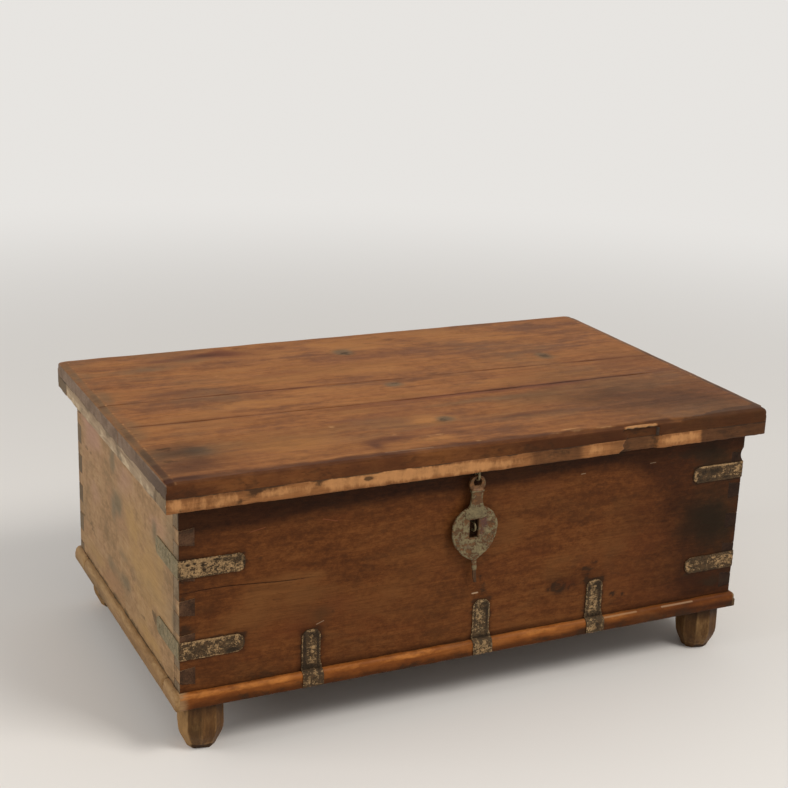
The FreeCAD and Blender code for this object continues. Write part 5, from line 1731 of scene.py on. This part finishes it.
# %% Lime and dirt on the straps
# Share is the place as a share of the half case, lime and dust are all over. Rows are (length from the top,
# place across, reach, reach, amount) in millimetres.
base_straps = {
    "left": {
        "share": -0.582, "lime_and_highlight": 0.2, "dust": 0.08,
        "limed_and_highlight": [
            (36, 0, 20, 6, 0.45), (74, 3, 6, 3, 0.6), (2, 0, 2, 8, 0.5), (30, 14, 30, 0.8, 0.5),
            (30, -14, 30, 0.8, 0.5), (82, -6, 10, 1.6, 0.5),
        ],
        "darkened": [
            (30, -10.5, 40, 3, 0.9), (10, 3, 8, 8, 0.8), (60, -2, 6, 12, 0.9), (66, 9, 5, 4, 0.5),
            (30, 10.5, 30, 2.5, 0.8), (80, 0, 10, 12, 0.4),
        ],
    },
    "middle": {
        "share": 0.008, "lime_and_highlight": 0.3, "dust": 0.25,
        "limed_and_highlight": [
            (30, -3, 24, 6, 0.35), (80, 4, 8, 3, 0.5), (2, 0, 2, 8, 0.5), (30, 14, 30, 0.8, 0.5),
            (30, -14, 30, 0.8, 0.5), (82, -7, 9, 2, 0.5),
        ],
        "darkened": [
            (63, 0, 7, 14, 0.8), (30, 10, 30, 3, 0.7), (16, 5, 8, 6, 0.5), (7, 0, 3, 10, 0.5),
            (30, -10.5, 30, 2, 0.6), (80, 0, 10, 12, 0.25),
        ],
    },
    "right": {
        "share": 0.436, "lime_and_highlight": 0.25, "dust": 0.25,
        "limed_and_highlight": [
            (30, -3, 20, 6, 0.5), (2, 0, 2, 8, 0.4), (30, 14, 30, 0.8, 0.4), (82, -6, 9, 1.8, 0.4),
        ],
        "darkened": [
            (10, 4, 9, 6, 0.8), (12, -8, 7, 5, 0.6), (62, 0, 8, 14, 0.7), (30, 10, 30, 3.5, 0.7),
            (82, 3, 10, 8, 0.6), (30, -10.5, 30, 2, 0.5),
        ],
    },
}
strap_half, strap_round, strap_top = 14.5 * mm, 12 * mm, 166 * mm
print("straps:", list(base_straps))

# %% The line of a strap
strap_bend, nosing_round, strap_drop = 8.7 * mm, 8.5 * mm, 14 * mm


def strap_line(count=400):
    """The strap's inner line from its top down, over the panel and the nosing's quarter round."""
    centre_y, centre_z = base_lo[1] + nosing_round, base_hi[2] - nosing_round
    meet = centre_z + math.sqrt(strap_bend ** 2 - (centre_y - front_lo[1]) ** 2)
    turns = np.linspace(math.asin((meet - centre_z) / strap_bend), 0, 30)
    y = np.concatenate([[front_lo[1]] * 2, centre_y - strap_bend * np.cos(turns), [centre_y - strap_bend]])
    z = np.concatenate([[strap_top, meet + 0.5 * mm], centre_z + strap_bend * np.sin(turns),
                        [centre_z - strap_drop]])
    run = np.concatenate([[0], np.cumsum(np.hypot(np.diff(y), np.diff(z)))])
    even = np.linspace(0, run[-1], count)
    y, z = np.interp(even, run, y), np.interp(even, run, z)
    y = np.convolve(np.pad(y, 7, "edge"), np.ones(15) / 15, "valid")
    return even, y, z


line_run, line_y, line_z = strap_line()
slope_y, slope_z = np.gradient(line_y, line_run), np.gradient(line_z, line_run)
print("a strap is %.0f mm long" % (line_run[-1] / mm))

# %% Three straps over the nosing


def over_nosing(flat, middle):
    """Carries a strip down the line: each point steps out from the line along its normal by its thickness."""
    s, t, w = flat.T
    y, z = np.interp(s, line_run, line_y), np.interp(s, line_run, line_z)
    along_y, along_z = np.interp(s, line_run, slope_y), np.interp(s, line_run, slope_z)
    size = np.hypot(along_y, along_z)
    spread = rise(s, 48, 64)
    x = middle + t * (1 + 0.13 * spread) + 1.2 * mm * spread
    return np.stack([x, y + w * along_z / size, z - w * along_y / size], 1)


for order, (name, look) in enumerate(base_straps.items()):
    flat, quads = strip(0, line_run[-1], strap_half, strap_round, iron_thick, 200 + 10 * order, True, False)
    s, t, w = flat.T
    marks = {"lime_and_highlight": look["lime_and_highlight"] + spots(s, t, look["limed_and_highlight"]), "dark": spots(s, t, look["darkened"]),
             "dust": look["dust"] + 0 * s}
    points = over_nosing(flat, look["share"] * case_end)
    piece("base_strap_%s_forged" % name, (points, quads[:, ::-1]), "case",
          ["base_strap_" + name], [lime_iron], None, marks)

# %% [markdown]
# ## Nail heads
# The nails through the irons were hammered nearly flat and painted over with them. A low dome on each
# nail's place is enough. The places come from the frame: the corners of each loose nail in the CAD mesh.

# %% Loose parts of a frame mesh


def loose_parts(node):
    """Middle and size of each separate solid in a CAD mesh: points joined by faces share the lowest label."""
    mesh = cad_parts[node].data
    co = np.empty(len(mesh.vertices) * 3)
    mesh.vertices.foreach_get("co", co)
    co = co.reshape(-1, 3)
    corners = np.empty(len(mesh.loops), np.int64)
    mesh.loops.foreach_get("vertex_index", corners)
    _, label = np.unique(np.round(co / (0.01 * mm)), axis=0, return_inverse=True)
    label = label.ravel()
    faces = label[corners].reshape(-1, 3)
    root = np.arange(label.max() + 1)
    for _ in range(60):
        low = root[faces].min(1)
        before = root.copy()
        for column in range(3):
            np.minimum.at(root, faces[:, column], low)
        if (before == root).all():
            break
    owner = root[label]
    return [(co[owner == k].min(0), co[owner == k].max(0)) for k in np.unique(owner)]


nail_boxes = loose_parts("iron_nails")
print("nails through the irons:", len(nail_boxes))

# %% Low domed heads


def dome(centre, out, radius, height, seed):
    """Low round head: rings of points that climb a quarter ellipse, on a short skirt."""
    rise = np.linspace(0, math.pi / 2 * 0.97, 7)
    turn = np.arange(20) / 20 * 2 * math.pi
    wobble = 1 + 0.09 * np.sin(2 * turn + seed) + 0.06 * np.sin(3 * turn + 2 * seed)
    across = np.concatenate([[1.0], np.cos(rise)])
    up = np.concatenate([[-0.8 * mm], height * np.sin(rise)])
    ring_a = radius * across[:, None] * wobble * np.cos(turn)
    ring_b = radius * across[:, None] * wobble * np.sin(turn)
    first = np.array([0, 0, 1.0])
    second = np.cross(out, first)
    rings = centre + ring_a[..., None] * first + ring_b[..., None] * second + up[:, None, None] * out
    return carried(rings[:, ::-1])


def nail_head(lo, hi, seed):
    """Dome on a nail's outer end: a nail that is long in Y looks forward, the others to their own side."""
    middle = (lo + hi) / 2
    forward = hi[1] - lo[1] > 10 * mm
    way = np.array([0, -1, 0] if forward else [np.sign(middle[0]), 0, 0])
    tip = np.where(way < 0, lo, np.where(way > 0, hi, middle)) - 1.6 * mm * way
    return dome(tip, way, 3.2 * mm, (1.0 if forward else 0.8) * mm, seed)


points, quads = join([nail_head(lo, hi, order) for order, (lo, hi) in enumerate(nail_boxes)])
x = points[:, 0]
marks = {"lime_and_highlight": 0.4 + 0 * x, "dark": 0.1 + 0 * x, "dust": 0.9 * (x < -case_end)}
piece("iron_nail_heads", (points, quads), "case", ["iron_nails"], [lime_iron], None, marks)

# %% [markdown]
# ## The hasp
# The hasp was forged in one: an eye, a collar, a neck that spreads into a leaf with a square hole, and a
# thin tail. The eye and the leaf are plates with a hole, so both use one formula: a ring of rays from the
# hole's edge to the outline, carried over the front, round the rim and over the back.

# %% Plate with a hole


def pierced(outer, inner, thick, centre, hole, swell=0.0, seed=0):
    """Rays from the hole's edge to the outline, both given as radii by the turn. The height along each
    ray goes over the front, round the rim and over the back."""
    turn = (np.arange(180) + 0.5) / 180 * 2 * math.pi
    way = np.stack([np.cos(turn), np.sin(turn)], -1)
    edge_in = np.array(hole) + inner(turn)[:, None] * way
    edge_out = np.array([centre[0], centre[2]]) + outer(turn)[:, None] * way
    share = np.concatenate([[0, 0, 0.01], np.linspace(0.05, 0.93, 14), [0.97, 1.0, 1.0, 0.97, 0.5, 0.0]])
    level = np.concatenate([[0.0, 0.85, 1.0], np.ones(14), [0.97, 0.72, 0.2, 0, 0, 0]])
    flat = edge_in + share[:, None, None] * (edge_out - edge_in)
    place = np.stack([flat[..., 0], 0 * flat[..., 0], flat[..., 1]], -1).reshape(-1, 3)
    dents = 0.3 * waves(place, 11, seed) + 0.2 * waves(place, 4, seed + 1) - 0.25
    dents = dents.reshape(flat.shape[:2]) * mm
    body = (thick + dents + swell * np.sin(math.pi * np.clip(share, 0, 1))[:, None]) * level[:, None]
    grid = np.stack([flat[..., 0], centre[1] - body, flat[..., 1]], -1)
    count, size = grid.shape[:2]
    ids = np.arange(count * size).reshape(count, size)
    after = np.roll(ids, -1, 0)
    quads = np.stack([ids, after, np.roll(after, -1, 1), np.roll(ids, -1, 1)], -1).reshape(-1, 4)
    return grid.reshape(-1, 3), quads

# %% Outlines of the leaf and its hole
leaf_half, leaf_rise, leaf_drop = 38.5 * mm, 36 * mm, 52 * mm
slot_half, slot_rise, slot_shift = 7.5 * mm, 15 * mm, -2 * mm


def leaf_outline(turn):
    """Half an ellipse above, and below it two arcs that meet in a point."""
    c, s = np.cos(turn), np.sin(turn)
    above = 1 / np.sqrt((c / leaf_half) ** 2 + (s / leaf_rise) ** 2)
    arch = (leaf_half ** 2 + leaf_drop ** 2) / (2 * leaf_half)
    off = arch - leaf_half
    below = -off * np.abs(c) + np.sqrt((off * c) ** 2 + arch ** 2 - off ** 2)
    dented = 1 + 0.012 * np.sin(7 * turn + 1) + 0.01 * np.sin(12 * turn)
    return np.where(s > 0, above, below) * np.minimum(dented, 1)


def slot_outline(turn):
    """A square hole with barely soft corners: the nearer of two pairs of lines along the ray."""
    c, s = np.abs(np.cos(turn)), np.abs(np.sin(turn))
    return ((c / slot_half) ** 24 + (s / slot_rise) ** 24) ** (-1 / 24)


print("leaf: %.0f mm across and %.0f mm tall" % (2 * leaf_half / mm, (leaf_rise + leaf_drop) / mm))

# %% Leaf and eye
hasp_lo, hasp_hi = as_box("hasp")
hasp_x, hasp_back = (hasp_lo[0] + hasp_hi[0]) / 2, hasp_hi[1]
leaf_middle, leaf_thick = 291 * mm, 3.9 * mm
eye_middle, eye_thick = hasp_hi[2] - 13.5 * mm, 4.9 * mm
eye_radius, hole_radius, hole_rise = 13.3 * mm, 6.9 * mm, 2.75 * mm

leaf = pierced(leaf_outline, slot_outline, leaf_thick, (hasp_x, hasp_back, leaf_middle),
               (hasp_x + slot_shift, leaf_middle), 0.2 * mm, 300)
eye = pierced(lambda turn: eye_radius + 0 * turn, lambda turn: hole_radius + 0 * turn, eye_thick,
              (hasp_x, hasp_back, eye_middle), (hasp_x, eye_middle + hole_rise), 0.0, 310)
print("faces of the leaf and the eye:", len(leaf[1]), len(eye[1]))

# %% Neck and tail


def bar(start, stations, seed, sides=28):
    """Bar of soft rectangular section along Z. Stations are rows of (height over the start, half width,
    thickness, shift) in millimetres, and the section is a circle to the fifth power."""
    stations = np.array(stations) * mm + [start, 0, 0, 0]
    heights = np.linspace(stations[0, 0], stations[-1, 0], 60)
    order = np.argsort(stations[:, 0])
    half, thick, shift = (np.interp(heights, stations[order, 0], stations[order, k]) for k in (1, 2, 3))
    turn = np.arange(sides) / sides * 2 * math.pi
    c, s = np.cos(turn), np.sin(turn)
    square = (np.abs(c) ** 5 + np.abs(s) ** 5) ** -0.2
    x = hasp_x + shift[:, None] + half[:, None] * c * square
    y = hasp_back - thick[:, None] * (1 - s * square) / 2
    rings = np.stack([x, y, np.broadcast_to(heights[:, None], x.shape)], -1)
    rings[..., 0] += 0.2 * mm * waves(rings.reshape(-1, 3), 8, seed).reshape(x.shape)
    rings[..., 1] = np.minimum(rings[..., 1], hasp_back)
    return carried(rings if heights[1] > heights[0] else rings[::-1])


shoulder, collar = leaf_middle + 16 * mm, 352.5 * mm
bead = leaf_middle - leaf_drop - 12 * mm
to_collar, to_tip = (collar - shoulder) / mm, (hasp_lo[2] - bead) / mm
neck = bar(shoulder, [
    (-1, 14, 4.4, 0), (3, 18.5, 5.4, 0), (9, 19, 5.6, 0), (15, 16, 5.4, 0), (21, 11.2, 5.8, 0),
    (to_collar - 14, 9, 6.6, 0), (to_collar - 2.6, 9.4, 6.9, 0), (to_collar - 2, 10.9, 7.9, 0),
    (to_collar + 1, 10.9, 7.9, 0), (to_collar + 2, 9, 6, 0), (to_collar + 7, 8, 4, 0),
], 320)
tail = bar(bead, [
    (20, 5.2, 2.8, 1.2), (8, 3.9, 2.8, 1.8), (3, 3.5, 3.5, 2.2), (0, 3.8, 3.8, 2.4), (-3, 3.5, 3.4, 2.6),
    (-6, 2.9, 2.6, 3.0), (to_tip + 8, 2.8, 2.4, 4.0), (to_tip, 2.2, 2.2, 5.4),
], 330)
print("neck %.0f mm, tail %.0f mm long" % (to_collar, 20 - to_tip))

# %% [markdown]
# ## Marks on the hasp
# The limewash stays pale on the smooth shoulder, on the neck's edges, on the collar and round the leaf's
# rim, where fingers never rub it off, and highlights are painted over these parts in the same pale colour.
# Red rust sits right of the hole.

# %% Lime, dark and red places on the leaf
# Places are across and up from the leaf's middle.
hasp_lime = [
    (-22, 8, 14, 16, 0.3), (-20, -16, 10, 12, 0.3), (6, -32, 14, 12, 0.35), (24, -4, 10, 14, 0.1),
    (-10, -42, 6, 6, 0.3),
]
hasp_red = [
    (15, 10, 9, 13, 0.8), (12, -8, 6, 8, 0.45), (-28, -14, 5, 6, 0.5), (-12, -28, 6, 5, 0.5),
    (20, -22, 6, 5, 0.4),
]
hasp_dark = [
    (28, 6, 5, 8, 0.5), (-31, 4, 4, 7, 0.4), (18, -24, 8, 6, 0.4), (31, -10, 4, 6, 0.45),
    (-24, 24, 6, 3, 0.35), (-24, -20, 7, 5, 0.35), (0, -46, 5, 5, 0.4), (-4, 16, 16, 2, 0.5),
]
print("places on the leaf:", len(hasp_lime) + len(hasp_red) + len(hasp_dark))

# %% Hasp


def hasp_marks(points):
    """Spots on the leaf, with pale smooth parts on the shoulder, neck, collar, rim and bead that are limewash
    with painted highlights over it, and painted shade in and round the square hole.
    """
    x, y, z = points.T
    across, up = x - hasp_x, z - leaf_middle
    smooth = stretch(up, 16, 40, 2) * (np.abs(across) < 20 * mm) * (y < hasp_back - 4.2 * mm)
    neck_edge = window(z, leaf_middle + 34 * mm, collar, 3 * mm) * (np.abs(across) > 6.5 * mm)
    by_slot = (np.abs(across - slot_shift) < slot_half + 1.2 * mm) * (np.abs(up) < slot_rise + 1.2 * mm)
    rim_gap = leaf_outline(np.arctan2(up, across)) - np.hypot(across, up)
    rim = stretch(rim_gap, 0.3, 2.6, 0.8) * (up < 30 * mm) * (y < hasp_back - 1 * mm)
    lime_and_highlight = 0.4 + spots(across, up, hasp_lime) + 0.6 * smooth + 0.6 * neck_edge + 0.4 * rim
    lime_and_highlight += 0.9 * stretch(z - collar, -2, 0.6, 0.5)
    lime_and_highlight += 0.5 * stretch(z - bead, -4, 4, 1) - 0.5 * rise(up, 36, 44)
    dark = (1 - smooth) * (spots(across, up, hasp_dark) + 0.3 * by_slot)
    dark += 0.3 * rise(z - collar, 4, 20)
    dark += 0.7 * (1 - rise(z - bead, -7, -1))
    red = 0.85 * spots(across, up, hasp_red) * (1 - smooth)
    return {"lime_and_highlight": lime_and_highlight, "dark": dark, "red": red}


points, quads = join([leaf, eye, neck, tail])
piece("hasp_forged", (points, quads), "hasp", ["hasp"], [hasp_iron], None, hasp_marks(points))

# %% [markdown]
# ## Wire staples
# The hasp's eye hangs in a bent wire that goes up into the lid, and a smaller one behind the square hole
# takes the lock. Each is a circle carried along a line: two straight legs and a half turn.

# %% Wire bent to a U


def tube(centre_line, across, radius):
    """Round wire: at each point of a flat line, a circle in the plane of its normal and the across way."""
    step = np.gradient(centre_line, axis=0)
    step /= np.linalg.norm(step, axis=1, keepdims=True)
    across = np.array(across, float)
    normal = np.cross(step, across)
    turn = np.arange(16) / 16 * 2 * math.pi
    rings = (centre_line[:, None] + radius * (np.cos(turn)[None, :, None] * across
                                              + np.sin(turn)[None, :, None] * normal[:, None]))
    return carried(rings)


def staple(middle, out, leg_way, bend, leg, radius):
    """U of wire in the plane of two ways: the legs run along leg_way and stand apart along out."""
    out, leg_way = np.array(out, float), np.array(leg_way, float)
    turn = np.linspace(0, math.pi, 41)[:, None]
    arc = middle + bend * (np.cos(turn) * out - np.sin(turn) * leg_way)
    down = np.linspace(leg, 0.4 * mm, 9)[:, None]
    legs = middle + bend * out + down * leg_way, middle - bend * out + down[::-1] * leg_way
    return tube(np.concatenate([legs[0], arc, legs[1]]), np.cross(out, leg_way), radius)

# %% Two staples
wire, lock_wire, lock_leg = 2.0 * mm, 1.5 * mm, 14 * mm
staple_lo, staple_hi = as_box("hasp_staple")
lock_lo, lock_hi = as_box("lock_staple")

swing = np.array([hasp_x, hasp_back - 2.5 * mm, case_high - 9 * mm])
hang_bend = (staple_hi[1] - staple_lo[1]) / 2 - wire
hang = staple(swing, (0, 1, 0), (0, 0, 1), hang_bend, staple_hi[2] - swing[2], wire)

lock_bend = (lock_hi[2] - lock_lo[2]) / 2 - lock_wire
lock_crown = hasp_back - 3.6 * mm
lock_middle = np.array([hasp_x + 1 * mm, lock_crown + lock_bend + lock_wire, (lock_lo[2] + lock_hi[2]) / 2])
lock = staple(lock_middle, (0, 0, 1), (0, 1, 0), lock_bend, lock_leg, lock_wire)

for name, shape, body, node in (("hanging_staple", hang, "lid", "hasp_staple"),
                                ("lock_loop", lock, "case", "lock_staple")):
    piece(name, shape, body, [node], [hasp_iron], None, {"lime_and_highlight": np.ones(len(shape[0]))})

# %% [markdown]
# ## Pieces kept from the frame
# The battens, the bottom boards, the hinges and the hidden nails have the right shape already, so they
# only get a finish. Their meshes aren't touched.

# %% Finishes on kept pieces
kept = {
    "bottom_board": inner_teak, "base_bearer": inner_side_teak, "batten": inner_side_teak,
    "hinge": dark_iron, "base_nails": dark_iron, "bottom_nails": dark_iron, "lid_nails": dark_iron,
}
for name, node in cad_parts.items():
    for start, material in kept.items():
        if name.startswith(start):
            node.data.materials.clear()
            node.data.materials.append(material)
print("kept nodes:", sum(not n.hide_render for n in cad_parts.values()))
